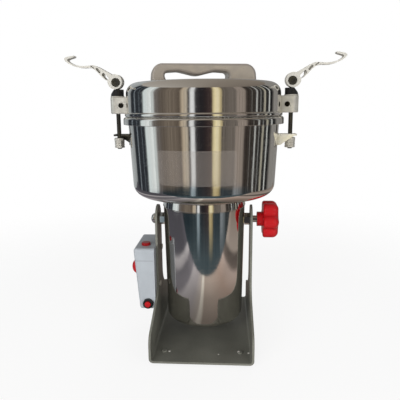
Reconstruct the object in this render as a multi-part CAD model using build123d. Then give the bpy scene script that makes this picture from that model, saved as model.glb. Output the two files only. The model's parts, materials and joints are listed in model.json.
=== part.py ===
from build123d import *
import math
import os

# Electric spice grinder: a clamped bowl on a motor that tilts in a U-shaped bracket.
# Millimetres. X is to the right, the front faces -Y, Z is up, the feet stand on Z 0.

os.makedirs("parts", exist_ok=True)

# Fits and cuts
overrun = 2.0            # how far a cut runs past the face that it opens
slip = 0.3               # between curved faces that move past each other
running = 0.05           # radial, a shaft in its bore
seat_gap = 0.1           # radial, pieces held together in one body

# Bracket: one folded sheet
foot_h = 5.0
foot_r = 9.0
foot_taper = 1.5
foot_inset_x = 18.0      # foot centre to the bracket's side
foot_inset_y = 26.0      # foot centre to the bracket's end
foot_screw_r = 2.0
foot_screw_l = 3.0       # below the bracket
foot_head_r = 4.0
foot_head_h = 1.8
head_round_share = 0.6
sheet_t = 3.0
plate_stand = 8.0        # shell's top to a side plate
bracket_half_l = 104.0
bend_r = 3.0             # inside the fold
brow_h = 35.0            # straight end of a side plate, above its lower edge
arm_foot_h = 67.0        # where the arm's straight edge begins, above the lower edge
arm_half_w = 21.0
brow_r = 16.0
waist_r = 34.0
trunnion_z = 178.0

# Motor shell
shell_bottom = 31.0
shell_top = 199.0
shell_r_low = 56.0
shell_flare = 3.0        # top radius less low radius
shell_t = 1.5
shell_corner_r = 7.0
shell_lip = 9.0          # flat lip turned in at the bottom
collar_h = 19.0
collar_over = 1.0        # past the shell's top
collar_t = 14.0
collar_groove = 1.4
collar_band_h = 10.6
collar_taper = 1.4
collar_neck = 3.5        # neck inside the band
cap_t = 2.0
cap_slots = 12
cap_slot_w = 3.0
cap_slot_in = 18.0
cap_slot_out = 38.0

# Trunnions
pivot_r = 5.0
pivot_head_r = 8.5
pivot_head_t = 5.0
spacer_r = 9.0
dome_r = 8.0
dome_h = 8.0
dome_round_share = 0.8

# Star knob that clamps the tilt
star_gap = 7.0           # plate to hub
star_hub_r = 10.5
star_hub_l = 8.0
star_head_l = 22.0
star_lobe_r = 9.5
star_lobe_pitch_r = 18.0
star_lobes = 6
star_round = 3.0
star_brow_r = 8.5        # round of the outer face
star_valley_r = 5.0
star_stud_depth = 18.0   # stud inside the knob

# Motor
shaft_r = 7.5
bell_t = 11.0
bell_window_r = 8.0
bell_window_pitch_r = 37.0
bell_windows = 6
lower_bell_rise = 29.0   # above the shell's lower face
bearing_r = 17.5
bearing_w = 9.0
bearing_groove = 1.2
race_share = 0.2
stator_rise = 33.0       # above the lower end bell
stator_h = 56.0
stator_gap = 3.5         # stator to the shell's wall at its low end
stator_bore_r = 27.6
air_gap = 0.6
coil_h = 9.0
coil_round_share = 0.3
coil_r_in = 29.5
coil_r_out = 41.0
tie_r = 2.5
tie_inset = 10.0         # shell's low radius to a bolt's axis
tie_count = 4
tie_start_angle = 45.0         # degrees about Z
tie_depth_share = 0.6
tie_nut_h = 4.0
tie_nut_r = 4.5
armature_slots = 12
armature_slot_w = 3.0
armature_slot_depth = 9.0
winding_r = 22.0
commutator_r = 16.0
commutator_h = 15.0
commutator_rise = 6.0    # above the lower end bell
commutator_bars = 16
commutator_slot = 0.8
brush_w = 8.0
brush_h = 8.0
brush_l = 16.0
holder_wall = 2.5
holder_gap = 3.0         # commutator to holder
holder_l = 22.0
fan_r = 42.0
fan_h = 10.0
fan_drop = 6.0           # below the lower end bell
fan_hub_r = 13.0
fan_plate_t = 2.0
fan_blade_t = 1.6
fan_blades = 10

# Grinding bowl
bowl_h = 108.0
bowl_r_top = 105.0
bowl_flare = 5.0         # rim radius less floor radius
bowl_t = 1.5
bowl_corner_r = 15.0
flange_w = 6.0
flange_drop = 10.0
flange_round = 2.0
bowl_hole_r = 15.0
bowl_screw_pitch_r = 53.0
bowl_screw_r = 2.5
bowl_screw_head_r = 4.5
bowl_screw_head_h = 2.0
bowl_screws = 4
seal_lip_h = 2.5
seal_brim = 3.0

# Blades, stacked on the arbor at the top of the shaft
blade_rise = 7.0         # bowl floor to the lower blade
arbor_r = 6.0
blade_t = 2.5
blade_tip_gap = 10.5     # lower blade to the bowl's wall
upper_blade_r = 66.0
blade_root_half_w = 14.0
blade_tip_half_w = 8.0
blade_bevel = 1.6
lower_blade_angle = 35.0  # degrees about Z
upper_blade_angle = 125.0
blade_spacer_h = 16.0
blade_spacer_r = 11.0
blade_nut_r = 10.0
blade_nut_h = 9.0
arbor_end = 2.0

# Lid
lid_over = 1.5           # lid radius past the bowl's rim radius
lid_t = 1.2
lid_h = 45.0
lid_shoulder_r = 15.0
lid_crown = 2.0
lid_bead_w = 2.5
lid_bead_h = 3.4
bead_round_share = 0.4
gasket_h = 4.0
pan_play = 6.5           # pan to the bowl's wall
pan_depth = 12.0
pan_corner_r = 4.0
pan_t = 1.2

# Lid handle
handle_half_l = 72.5
handle_h = 25.0
handle_half_w = 15.0
handle_angle = 12.0       # degrees about Z
handle_edge_r = 4.0
grip_t = 10.0
grip_belly = 6.0
shoulder_share = 0.97
shoulder_round_share = 0.6
window_shift = -10.5      # the window's middle from the handle's
window_foot_share = 0.552
window_head_share = 0.628
window_dip_share = 0.15
grip_peak_share = 0.35
grip_bend_share = 0.5
screw_depth_share = 0.4
handle_screw_r = 2.0
handle_screw_head_r = 4.5
handle_screw_head_h = 1.6

# Clamps, one each side: block on the lid, rod, cam seat, lever
rod_stand = 10.0         # flange to the rod's axis
rod_r = 3.0
block_r = 10.0
block_bottom_rise = 4.0  # lid's lower edge to the block
block_h = 23.0
block_edge = 1.0
block_screw_r = 1.8
block_screw_l = 8.0
block_screw_head_r = 3.5
block_screw_head_h = 2.0
block_screw_in = 6.5     # rod axis to the block's screw
washer_t = 1.2
seat_h = 9.0
seat_r = 9.0
seat_flat = 2.5          # rod axis to the seat's slope
seat_rim = 1.5
cam_r = 10.1
cam_lift = 2.2
cam_swing_angle = 80.0         # degrees from open to locked
cam_pin_r = 3.0
cam_pin_head_r = 6.0
cam_pin_head_t = 1.6
cheek_in = 3.8
cheek_out = 7.6
barrel_r = 5.5
rod_end = 1.5            # rod below its nut
rod_nut_h = 14.0
nut_collar_share = 0.3
rod_nut_r = 7.2
rod_nut_slack = 2.6      # under the ear while the lever is open
lever_reach = 72.0
lever_rise = 37.0
lever_pad_half_w = 6.0
lever_stem_half_w = 4.0
lever_hole_r = 2.4
lever_fork_depth = 16.0
# Side view of the lever's arm from the eye out: (reach, rise, fillet) shares
lever_shares = [(0.056, 0.257, 0.0), (0.278, 0.48, 0.2), (0.44, 0.685, 0.3), (0.61, 0.675, 0.5),
                (0.80, 0.735, 0.5), (0.91, 0.83, 0.08), (0.935, 0.90, 0.03), (0.79, 0.94, 0.0),
                (0.78, 1.0, 0.0), (0.96, 1.0, 0.1), (1.0, 0.86, 0.12), (0.945, 0.72, 0.3),
                (0.80, 0.62, 0.5), (0.61, 0.56, 0.5), (0.50, 0.52, 0.3), (0.375, 0.38, 0.3),
                (0.25, 0.162, 0.2), (0.139, 0.027, 0.0)]
# Top view: (reach share, which half width)
lever_plan_shares = [(-0.2, "cheek"), (0.30, "cheek"), (0.54, "stem"), (0.76, "stem"), (0.88, "pad"),
                     (1.03, "pad")]
lever_hole_shares = [(0.208, 0.216), (0.333, 0.43), (0.458, 0.59)]

# Bowl ears
ear_t = 2.5
ear_z_drop = 24.5        # bowl rim to the ear's top face
ear_reach = 8.0          # past the rod axis
ear_half_w = 13.0
ear_slot_side = 5.0      # rod axis to the ear's open side
ear_corner_r = 4.0
ear_gusset_t = 2.5
ear_gusset_h = 15.0
ear_base_t = 2.0

# Control box on the left plate
box_z = 50.5
box_h = 92.0
box_w_low = 23.0
box_w_top = 30.0
box_half_l = 38.0
box_t = 2.5
box_edge_r = 4.0
box_back_t = 1.5
box_screw_r = 2.0
box_screw_head_r = 4.0
box_screw_head_h = 2.0
box_screw_y = 12.0
box_screw_low = 30.0     # above the box's lower face
box_screw_high = 80.0
box_boss_r = 5.0
box_boss_l = 9.0
button_r = 6.5
button_rise = 4.0
button_x_in = 14.5       # back of the box to the button's axis
button_y = -18.0
button_travel = 2.5
button_sunk = 4.0
button_round = 1.2
switch_half_w = 9.5
switch_h = 22.0
timer_rise = 52.5        # above the box's lower face
timer_knob_r = 11.5
timer_knob_h = 12.5
timer_dome_r = 9.0
timer_mark_half_w = 0.9
timer_mark_depth = 1.4
timer_spindle_r = 3.0
timer_body_r = 15.0
timer_body_h = 14.0
reset_x_in = 10.5        # back of the box to the button's axis
reset_rise = 9.5
reset_r = 4.4
reset_stand = 2.5
reset_travel = 3.0
reset_sunk = 5.0
reset_bezel_r = 7.5
reset_bezel_h = 4.0
breaker_r = 6.6
breaker_l = 24.0
gland_r = 8.0
gland_nut_r = 9.5
gland_nut_t = 6.0
gland_l = 15.0
gland_bore_r = 3.6
gland_rise = 14.0
gland_x_in = 11.0        # back of the box to the gland's axis

# Sizes, heights and places that follow from the sizes above
shell_r_top = shell_r_low + shell_flare
bracket_half_w = shell_r_top + plate_stand + sheet_t
stator_r = shell_r_low - shell_t - stator_gap
tie_pitch_r = shell_r_low - tie_inset
bowl_r_low = bowl_r_top - bowl_flare
flange_r = bowl_r_top + flange_w
lid_r = bowl_r_top + lid_over
lid_bead_r = lid_r + lid_bead_w
pan_plug_r = bowl_r_top - bowl_t - pan_play
rod_x = flange_r + rod_stand
collar_r = shell_r_top + collar_over
lower_blade_r = bowl_r_low - bowl_t - blade_tip_gap
floor_top = foot_h + sheet_t
plate_in = bracket_half_w - sheet_t
bowl_floor = shell_top + collar_h
bowl_rim = bowl_floor + bowl_h
lid_edge = bowl_rim + slip
lid_top = bowl_rim + lid_h
block_bottom = lid_edge + block_bottom_rise
block_top = block_bottom + block_h
seat_bottom = block_top + washer_t
seat_top = seat_bottom + seat_h
cam_throw = cam_lift / (2.0 * math.sin(math.radians(cam_swing_angle / 2.0)))
cam_open_r = cam_r - cam_lift / 2.0
cam_z = seat_top + slip + cam_open_r
ear_top = bowl_rim - ear_z_drop
upper_bell_z = shell_top - bell_t
lower_bell_z = shell_bottom + lower_bell_rise
lower_bell_top = lower_bell_z + bell_t
stator_z = lower_bell_top + stator_rise
stator_top = stator_z + stator_h
commutator_z = lower_bell_top + commutator_rise
fan_z = lower_bell_z - fan_drop - fan_h
lower_blade_z = bowl_floor + bowl_t + blade_rise
upper_blade_z = lower_blade_z + blade_t + blade_spacer_h
blade_nut_z = upper_blade_z + blade_t
arbor_top = blade_nut_z + blade_nut_h + arbor_end
armature_r = stator_bore_r - air_gap
box_back = -bracket_half_w
box_face = box_back - box_back_t
box_top = box_z + box_h
box_slope = (box_w_top - box_w_low) / box_h


def outline(*corners):
    """Closed face from (across, up, fillet radius) corners."""
    points = [(across, up) for across, up, _ in corners]
    radii = [radius for _, _, radius in corners]
    return make_face(FilletPolyline(*points, radius=radii, close=True))


def turned(*corners):
    """Solid turned about Z from (radius, height, fillet radius) corners."""
    return revolve(Plane.XZ * outline(*corners), Axis.Z)


def disc(radius, z_from, z_to):
    """Round bar along Z."""
    return Pos(0, 0, z_from) * extrude(Circle(radius), z_to - z_from)


def bar_x(face, x_from, x_to):
    """Face drawn in Y and Z, drawn out along X."""
    return extrude(Plane.YZ.offset(x_from) * face, x_to - x_from)


def bar_y(face, y_from, y_to):
    """Face drawn in X and Z, drawn out along Y."""
    return Pos(0, y_from, 0) * extrude(Plane.XZ * face, y_from - y_to)


def block(x_from, x_to, y_from, y_to, z_from, z_to):
    """Box between two corners."""
    face = outline((x_from, y_from, 0), (x_to, y_from, 0), (x_to, y_to, 0), (x_from, y_to, 0))
    return Pos(0, 0, z_from) * extrude(face, z_to - z_from)


def around(count, piece, start=0.0):
    """Copies of a piece spread evenly about Z."""
    return [Rot(0, 0, start + 360.0 * i / count) * piece for i in range(count)]


def both_sides(right):
    """A right-hand piece and its mirror image."""
    return [right, mirror(right, Plane.YZ)]


def hexagon(across_corner_r, z_from, z_to):
    """Hexagonal bar along Z."""
    return Pos(0, 0, z_from) * extrude(RegularPolygon(across_corner_r, 6), z_to - z_from)


def shell_r(z):
    """Outside radius of the tapered motor shell."""
    return shell_r_low + (shell_r_top - shell_r_low) * (z - shell_bottom) / (shell_top - shell_bottom)


def bowl_r(z):
    """Outside radius of the flared bowl."""
    return bowl_r_low + (bowl_r_top - bowl_r_low) * (z - bowl_floor) / bowl_h


nodes = {}


def keep(name, *solids):
    """One node of one or more separate solids."""
    nodes[name] = solids[0] if len(solids) == 1 else Part() + list(solids)


# Bracket and feet


def foot_places():
    x = bracket_half_w - foot_inset_x
    y = bracket_half_l - foot_inset_y
    return [Pos(i * x, j * y, 0) for i in (-1, 1) for j in (-1, 1)]


def box_screw_places():
    return [(-box_screw_y, box_z + box_screw_low), (box_screw_y, box_z + box_screw_high)]


def base_bracket():
    arm_foot = foot_h + arm_foot_h
    brow = foot_h + brow_h
    top = trunnion_z + arm_half_w
    fold = bend_r + sheet_t
    half_w = bracket_half_w
    section = outline((-half_w, foot_h, fold), (half_w, foot_h, fold), (half_w, top, 0), (plate_in, top, 0),
                      (plate_in, floor_top, bend_r), (-plate_in, floor_top, bend_r),
                      (-plate_in, top, 0), (-half_w, top, 0))
    sheet = bar_y(section, -bracket_half_l, bracket_half_l)
    side = outline((-bracket_half_l, foot_h, 0), (-bracket_half_l, brow, brow_r),
                   (-arm_half_w, arm_foot, waist_r), (-arm_half_w, trunnion_z, 0),
                   (arm_half_w, trunnion_z, 0), (arm_half_w, arm_foot, waist_r),
                   (bracket_half_l, brow, brow_r), (bracket_half_l, foot_h, 0))
    side += Pos(0, trunnion_z) * Circle(arm_half_w)
    side -= Pos(0, trunnion_z) * Circle(pivot_r + running)
    sheet &= bar_x(side, -half_w - overrun, half_w + overrun)
    for place in foot_places():
        sheet -= place * disc(foot_screw_r + seat_gap, foot_h - overrun, floor_top + overrun)
    for y, z in box_screw_places():
        sheet -= bar_x(Pos(y, z) * Circle(box_screw_r + seat_gap), -half_w - overrun, overrun - plate_in)
    return sheet


def rubber_foot():
    bore = foot_screw_r + seat_gap
    return turned((bore, 0, 0), (foot_r - foot_taper, 0, 0), (foot_r, foot_h, 0), (bore, foot_h, 0))


def foot_screw():
    head_top = floor_top + foot_head_h
    return turned((0, foot_h - foot_screw_l, 0), (foot_screw_r, foot_h - foot_screw_l, 0),
                  (foot_screw_r, floor_top, 0), (foot_head_r, floor_top, 0),
                  (foot_head_r, head_top, foot_head_h * head_round_share), (0, head_top, 0))


# Motor shell, collar and trunnions


def motor_shell():
    lip_r = shell_r_low - shell_corner_r - shell_lip
    floor = shell_bottom + shell_t
    shell = turned((lip_r, shell_bottom, 0), (shell_r_low, shell_bottom, shell_corner_r),
                   (shell_r_top, shell_top, 0), (shell_r_top - shell_t, shell_top, 0),
                   (shell_r_low - shell_t, floor, shell_corner_r - shell_t), (lip_r, floor, 0))
    reach = shell_r_top + overrun
    return shell - bar_x(Pos(0, trunnion_z) * Circle(pivot_r + seat_gap), -reach, reach)


def top_collar():
    r_in = collar_r - collar_t
    groove_r = collar_r - collar_groove
    neck_r = collar_r - collar_neck
    band = shell_top + collar_groove
    band_top = band + collar_band_h
    ring = turned((r_in, shell_top, 0), (groove_r, shell_top, 0), (groove_r, band, 0), (collar_r, band, 0),
                  (collar_r - collar_taper, band_top, 0), (neck_r, band_top, 0), (neck_r, bowl_floor, 0),
                  (r_in, bowl_floor, 0))
    return ring - bowl_screw_bores(shell_top - overrun, bowl_floor + overrun)


def bowl_screw_bores(z_from, z_to):
    bore = Pos(bowl_screw_pitch_r, 0, 0) * disc(bowl_screw_r + seat_gap, z_from, z_to)
    return Part() + around(bowl_screws, bore)


def base_cap():
    z_from = shell_bottom + shell_t
    radius = shell_r_low - shell_corner_r - seat_gap
    cap = disc(radius, z_from, z_from + cap_t)
    half = cap_slot_w / 2.0
    slot = block(cap_slot_in, cap_slot_out, -half, half, z_from - overrun, z_from + cap_t + overrun)
    return cap - (Part() + around(cap_slots, slot))


def trunnion_spacer():
    """Nut between the shell and the right-hand plate."""
    spacer = Pos(0, 0, trunnion_z) * Rot(0, 90, 0) * hexagon(spacer_r, shell_r_low - overrun, plate_in - slip)
    spacer -= disc(shell_r(trunnion_z + spacer_r) + seat_gap, trunnion_z - spacer_r - overrun,
                   trunnion_z + spacer_r + overrun)
    return spacer - bar_x(Pos(0, trunnion_z) * Circle(pivot_r + seat_gap), 0, plate_in + overrun)


def pivot_head():
    """Bolt head inside the shell, on the right, clear of its curved wall."""
    x_to = math.sqrt((shell_r(trunnion_z - pivot_head_r) - shell_t) ** 2 - pivot_head_r ** 2) - seat_gap
    return x_to, Pos(0, 0, trunnion_z) * Rot(0, 90, 0) * hexagon(pivot_head_r, x_to - pivot_head_t, x_to)


def pivot_bolt_left():
    """Bolt and dome nut, drawn on the right and mirrored to the left."""
    x_from, head = pivot_head()
    nut_from = bracket_half_w + slip
    shank = bar_x(Pos(0, trunnion_z) * Circle(pivot_r), x_from, nut_from + dome_h / 2.0)
    nut_to = nut_from + dome_h
    dome = turned((0, nut_from, 0), (dome_r, nut_from, 0), (dome_r, nut_to, dome_h * dome_round_share),
                  (0, nut_to, 0))
    dome = Pos(0, 0, trunnion_z) * Rot(0, 90, 0) * dome
    return mirror(head + shank + dome, Plane.YZ)


def pivot_stud_right():
    x_from, head = pivot_head()
    x_to = bracket_half_w + star_gap + star_stud_depth
    return head + bar_x(Pos(0, trunnion_z) * Circle(pivot_r), x_from, x_to)


def star_knob():
    hub_from = bracket_half_w + star_gap
    head_from = hub_from + star_hub_l
    lobe = Pos(star_lobe_pitch_r, 0) * Circle(star_lobe_r)
    plan = Sketch() + [Circle(star_lobe_pitch_r)] + around(star_lobes, lobe, 90.0)
    plan = fillet(plan.vertices(), star_valley_r)
    head = Pos(0, 0, head_from) * extrude(plan, star_head_l)
    rims = head.faces().sort_by(Axis.Z)
    head = fillet(rims[0].edges(), star_round)
    outer = head.faces().sort_by(Axis.Z)[-1]
    head = fillet(outer.edges(), star_brow_r)
    hub = disc(star_hub_r, hub_from, head_from + star_round)
    bore_to = hub_from + star_stud_depth + slip
    knob = head + hub - disc(pivot_r + running, hub_from - overrun, bore_to)
    return Pos(0, 0, trunnion_z) * Rot(0, 90, 0) * knob


# Motor, inside the shell


def end_bell(z_from):
    """Cast end plate with a bearing pocket, windows for air and holes for the tie bolts."""
    z_to = z_from + bell_t
    bell = disc(shell_r(z_from) - shell_t - seat_gap, z_from, z_to)
    window = Pos(bell_window_pitch_r, 0, 0) * disc(bell_window_r, z_from - overrun, z_to + overrun)
    bell -= Part() + around(bell_windows, window)
    bell -= disc(bearing_r + seat_gap, z_from - overrun, z_from + bearing_w)
    return bell - disc(shaft_r + slip, z_from - overrun, z_to + overrun)


def tie_bores(z_from, z_to):
    bore = Pos(tie_pitch_r, 0, 0) * disc(tie_r + seat_gap, z_from, z_to)
    return Part() + around(tie_count, bore, tie_start_angle)


def lower_end_bell():
    bell = end_bell(lower_bell_z)
    return bell - tie_bores(lower_bell_z - overrun, lower_bell_top + overrun)


def upper_end_bell():
    bell = end_bell(upper_bell_z)
    bell -= tie_bores(upper_bell_z - overrun, upper_bell_z + bell_t * tie_depth_share)
    return bell - bowl_screw_bores(shell_top - bell_t * tie_depth_share, shell_top + overrun)


def tie_bolt():
    top = upper_bell_z + bell_t * tie_depth_share - slip
    shank = disc(tie_r, lower_bell_z - tie_nut_h, top)
    return Pos(tie_pitch_r, 0, 0) * (shank + hexagon(tie_nut_r, lower_bell_z - tie_nut_h, lower_bell_z))


def ball_bearing(z_from):
    z_to = z_from + bearing_w
    r_in = shaft_r + running
    ring = disc(bearing_r, z_from, z_to) - disc(r_in, z_from - overrun, z_to + overrun)
    middle = (bearing_r + r_in) / 2.0
    race = (bearing_r - r_in) * race_share
    for z in (z_from, z_to):
        ring -= disc(middle + race, z - bearing_groove, z + bearing_groove) \
            - disc(middle - race, z - bearing_groove, z + bearing_groove)
    return ring


def stator_core():
    core = disc(stator_r, stator_z, stator_top) - disc(stator_bore_r, stator_z - overrun, stator_top + overrun)
    return core - tie_bores(stator_z - overrun, stator_top + overrun)


def field_coil(z_from):
    rim = coil_h * coil_round_share
    z_to = z_from + coil_h
    return turned((coil_r_in, z_from, rim), (coil_r_out, z_from, rim), (coil_r_out, z_to, rim),
                  (coil_r_in, z_to, rim))


def brush_height():
    return commutator_z + commutator_h / 2.0


def brush_holder():
    """Brush box at the back, standing on the lower end bell."""
    z = brush_height()
    half_w = brush_w / 2.0 + holder_wall
    top = z + brush_h / 2.0 + holder_wall
    y_from = commutator_r + holder_gap
    holder = block(-half_w, half_w, y_from, y_from + holder_l, lower_bell_top, top)
    half = brush_w / 2.0 + seat_gap
    rise = brush_h / 2.0 + seat_gap
    return holder - block(-half, half, y_from - overrun, y_from + holder_l - holder_wall, z - rise, z + rise)


def carbon_brush():
    z = brush_height()
    half = brush_w / 2.0
    rise = brush_h / 2.0
    y_from = commutator_r + slip
    return block(-half, half, y_from, y_from + brush_l, z - rise, z + rise)


# Rotor: shaft, armature, fan and blades


def motor_shaft():
    bottom = fan_z - arbor_end
    return turned((0, bottom, 0), (shaft_r, bottom, 0), (shaft_r, lower_blade_z, 0),
                  (arbor_r, lower_blade_z, 0), (arbor_r, arbor_top, 0), (0, arbor_top, 0))


def on_shaft(piece, z_from, z_to, radius):
    """A piece bored to sit on the shaft."""
    return piece - disc(radius + seat_gap, z_from - overrun, z_to + overrun)


def armature_core():
    core = disc(armature_r, stator_z, stator_top)
    half = armature_slot_w / 2.0
    slot = block(armature_r - armature_slot_depth, armature_r + overrun, -half, half,
                 stator_z - overrun, stator_top + overrun)
    return on_shaft(core - (Part() + around(armature_slots, slot)), stator_z, stator_top, shaft_r)


def armature_winding(z_from):
    z_to = z_from + coil_h
    rim = coil_h * coil_round_share
    r_in = shaft_r + seat_gap
    return turned((r_in, z_from, 0), (winding_r, z_from, rim), (winding_r, z_to, rim), (r_in, z_to, 0))


def commutator():
    z_to = commutator_z + commutator_h
    half = commutator_slot / 2.0
    slot = block(commutator_r - commutator_slot, commutator_r + overrun, -half, half,
                 commutator_z - overrun, z_to + overrun)
    bars = disc(commutator_r, commutator_z, z_to) - (Part() + around(commutator_bars, slot))
    return on_shaft(bars, commutator_z, z_to, shaft_r)


def cooling_fan():
    z_to = fan_z + fan_h
    half = fan_blade_t / 2.0
    vane = block(fan_hub_r / 2.0, fan_r, -half, half, fan_z, z_to)
    fan = disc(fan_hub_r, fan_z, z_to) + disc(fan_r, z_to - fan_plate_t, z_to)
    return on_shaft(fan + around(fan_blades, vane), fan_z, z_to, shaft_r)


def blade(z_from, radius, turn):
    """Two-ended cutter with its leading edges ground to a bevel."""
    root = blade_root_half_w
    tip = blade_tip_half_w
    plan = outline((-radius, -tip, tip / 2.0), (0, -root, radius), (radius, -tip, 0), (radius, tip, tip / 2.0),
                   (0, root, radius), (-radius, tip, 0))
    cutter = Pos(0, 0, z_from) * extrude(plan, blade_t)
    top = cutter.faces().sort_by(Axis.Z)[-1]
    cutter = chamfer(top.edges().filter_by(GeomType.LINE), blade_bevel)
    return Rot(0, 0, turn) * on_shaft(cutter, z_from, z_from + blade_t, arbor_r)


def blade_spacer():
    z_from = lower_blade_z + blade_t
    return on_shaft(disc(blade_spacer_r, z_from, upper_blade_z), z_from, upper_blade_z, arbor_r)


def blade_nut():
    nut = hexagon(blade_nut_r, blade_nut_z, blade_nut_z + blade_nut_h)
    return on_shaft(nut, blade_nut_z, blade_nut_z + blade_nut_h, arbor_r)


# Bowl


def grinding_bowl():
    floor = bowl_floor + bowl_t
    under = bowl_rim - bowl_t
    lip = flange_r - bowl_t
    lip_z = bowl_rim - flange_drop
    bowl = turned((bowl_hole_r, bowl_floor, 0), (bowl_r_low, bowl_floor, bowl_corner_r),
                  (bowl_r(under), under, 0), (lip, under, 0), (lip, lip_z, 0), (flange_r, lip_z, 0),
                  (flange_r, bowl_rim, flange_round),
                  (bowl_r_top - bowl_t, bowl_rim, 0), (bowl_r_low - bowl_t, floor, bowl_corner_r - bowl_t),
                  (bowl_hole_r, floor, 0))
    return bowl - bowl_screw_bores(bowl_floor - overrun, floor + overrun)


def bowl_body():
    """Outside of the bowl's wall, for what is welded to it."""
    return turned((0, bowl_floor, 0), (bowl_r_low + seat_gap, bowl_floor, 0),
                  (bowl_r_top + seat_gap, bowl_rim, 0), (0, bowl_rim, 0))


def bowl_screw():
    head_from = bowl_floor + bowl_t
    tip = shell_top - bell_t * tie_depth_share + slip
    head = disc(bowl_screw_head_r, head_from, head_from + bowl_screw_head_h)
    return Pos(bowl_screw_pitch_r, 0, 0) * (disc(bowl_screw_r, tip, head_from) + head)


def shaft_seal():
    floor = bowl_floor + bowl_t
    r_in = shaft_r + slip
    r_out = bowl_hole_r - seat_gap
    brim = bowl_hole_r + seal_brim
    return turned((r_in, bowl_floor, 0), (r_out, bowl_floor, 0), (r_out, floor, 0), (brim, floor, 0),
                  (brim, floor + seal_lip_h, seal_lip_h / 2.0), (r_in, floor + seal_lip_h, 0))


def bowl_ear():
    """Right-hand ear: a slotted shelf, open to the back, on a welded strip with one gusset in front."""
    under = ear_top - ear_t
    low = ear_top - ear_gusset_h
    x_in = bowl_r_low
    x_out = rod_x + ear_reach
    shelf = outline((x_in, -ear_half_w, 0), (x_out, -ear_half_w, ear_corner_r),
                    (x_out, ear_slot_side, ear_corner_r), (x_in, ear_slot_side, 0))
    shelf -= Pos(rod_x, 0) * Circle(rod_r + slip)
    slot = rod_r + slip
    shelf -= outline((rod_x - slot, 0, 0), (rod_x + slot, 0, 0), (rod_x + slot, ear_slot_side + overrun, 0),
                     (rod_x - slot, ear_slot_side + overrun, 0))
    ear = Pos(0, 0, under) * extrude(shelf, ear_t)
    strip_x = bowl_r(ear_top) + ear_base_t
    ear += block(x_in, strip_x, -ear_half_w, ear_slot_side, low, ear_top)
    gusset = outline((x_in, low, 0), (strip_x, low, 0), (x_out - ear_corner_r, under, 0), (x_in, under, 0))
    ear += bar_y(gusset, -ear_half_w, ear_gusset_t - ear_half_w)
    return ear - bowl_body()


# Lid


def lid_profile(grow):
    """Outside of the lid from the bead up, grown by a gap for what sits on it."""
    edge_r = lid_r + grow
    top = lid_top + grow
    return turned((0, lid_edge, 0), (edge_r, lid_edge, 0), (edge_r, top, lid_shoulder_r),
                  (0, top + lid_crown, 0))


def lid_shell():
    r_in = lid_r - lid_t
    under = lid_top - lid_t
    bead_top = lid_edge + lid_bead_h
    bead_round = lid_bead_h * bead_round_share
    shell = turned((r_in, lid_edge, 0), (lid_bead_r, lid_edge, bead_round), (lid_bead_r, bead_top, bead_round),
                   (lid_r, bead_top, 0), (lid_r, lid_top, lid_shoulder_r), (0, lid_top + lid_crown, 0),
                   (0, under + lid_crown, 0), (r_in, under, lid_shoulder_r - lid_t))
    for place in handle_screw_places():
        shell -= place * disc(handle_screw_r + seat_gap, under - overrun, lid_top + lid_crown + overrun)
    return shell


def lid_pan():
    rim_r = lid_r - lid_t - seat_gap
    rim_z = bowl_rim + gasket_h
    low = rim_z - pan_depth
    plug_in = pan_plug_r - pan_t
    return turned((0, low, 0), (pan_plug_r, low, pan_corner_r), (pan_plug_r, rim_z, 0), (rim_r, rim_z, 0),
                  (rim_r, rim_z + pan_t, 0), (plug_in, rim_z + pan_t, 0),
                  (plug_in, low + pan_t, pan_corner_r - pan_t), (0, low + pan_t, 0))


def lid_gasket():
    r_in = pan_plug_r + slip
    r_out = lid_r - lid_t - slip
    z_to = bowl_rim + gasket_h
    return turned((r_in, bowl_rim, 0), (r_out, bowl_rim, 0), (r_out, z_to, 0), (r_in, z_to, 0))


def handle_leg_x(side):
    """Middle of a leg's foot, on the right at 1 and on the left at -1."""
    return (side * handle_half_l * (1.0 + window_foot_share) + window_shift) / 2.0


def handle_screw_places():
    return [Rot(0, 0, handle_angle) * Pos(handle_leg_x(side), 0, 0) for side in (1, -1)]


def lid_handle():
    """Cast arch with a belly under the middle of the grip."""
    foot = lid_top - lid_t
    top = lid_top + handle_h
    under = top - grip_t
    corner = handle_half_l * shoulder_share
    foot_x = handle_half_l * window_foot_share
    head_x = handle_half_l * window_head_share
    peak_x = handle_half_l * grip_peak_share
    middle = window_shift
    head = under - grip_t * window_dip_share
    bend = grip_t * grip_bend_share
    arch = outline((-handle_half_l, foot, 0), (-corner, top, handle_h * shoulder_round_share),
                   (corner, top, handle_h * shoulder_round_share), (handle_half_l, foot, 0),
                   (middle + foot_x, foot, 0), (middle + head_x, head, bend),
                   (middle + peak_x, under, handle_h), (middle, under - grip_belly, handle_h),
                   (middle - peak_x, under, handle_h), (middle - head_x, head, bend),
                   (middle - foot_x, foot, 0))
    handle = bar_y(arch, -handle_half_w, handle_half_w)
    sides = handle.faces().sort_by(Axis.Y)
    handle = fillet(sides[0].edges() + sides[-1].edges(), handle_edge_r)
    handle -= lid_profile(seat_gap)
    handle = Rot(0, 0, handle_angle) * handle
    for place in handle_screw_places():
        handle -= place * disc(handle_screw_r + seat_gap, foot, lid_top + handle_h * screw_depth_share + slip)
    return handle


def handle_screw():
    under = lid_top - lid_t
    shank = disc(handle_screw_r, under - handle_screw_head_h, lid_top + handle_h * screw_depth_share)
    return shank + disc(handle_screw_head_r, under - handle_screw_head_h, under)


# Clamps, drawn on the right-hand side


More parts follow.
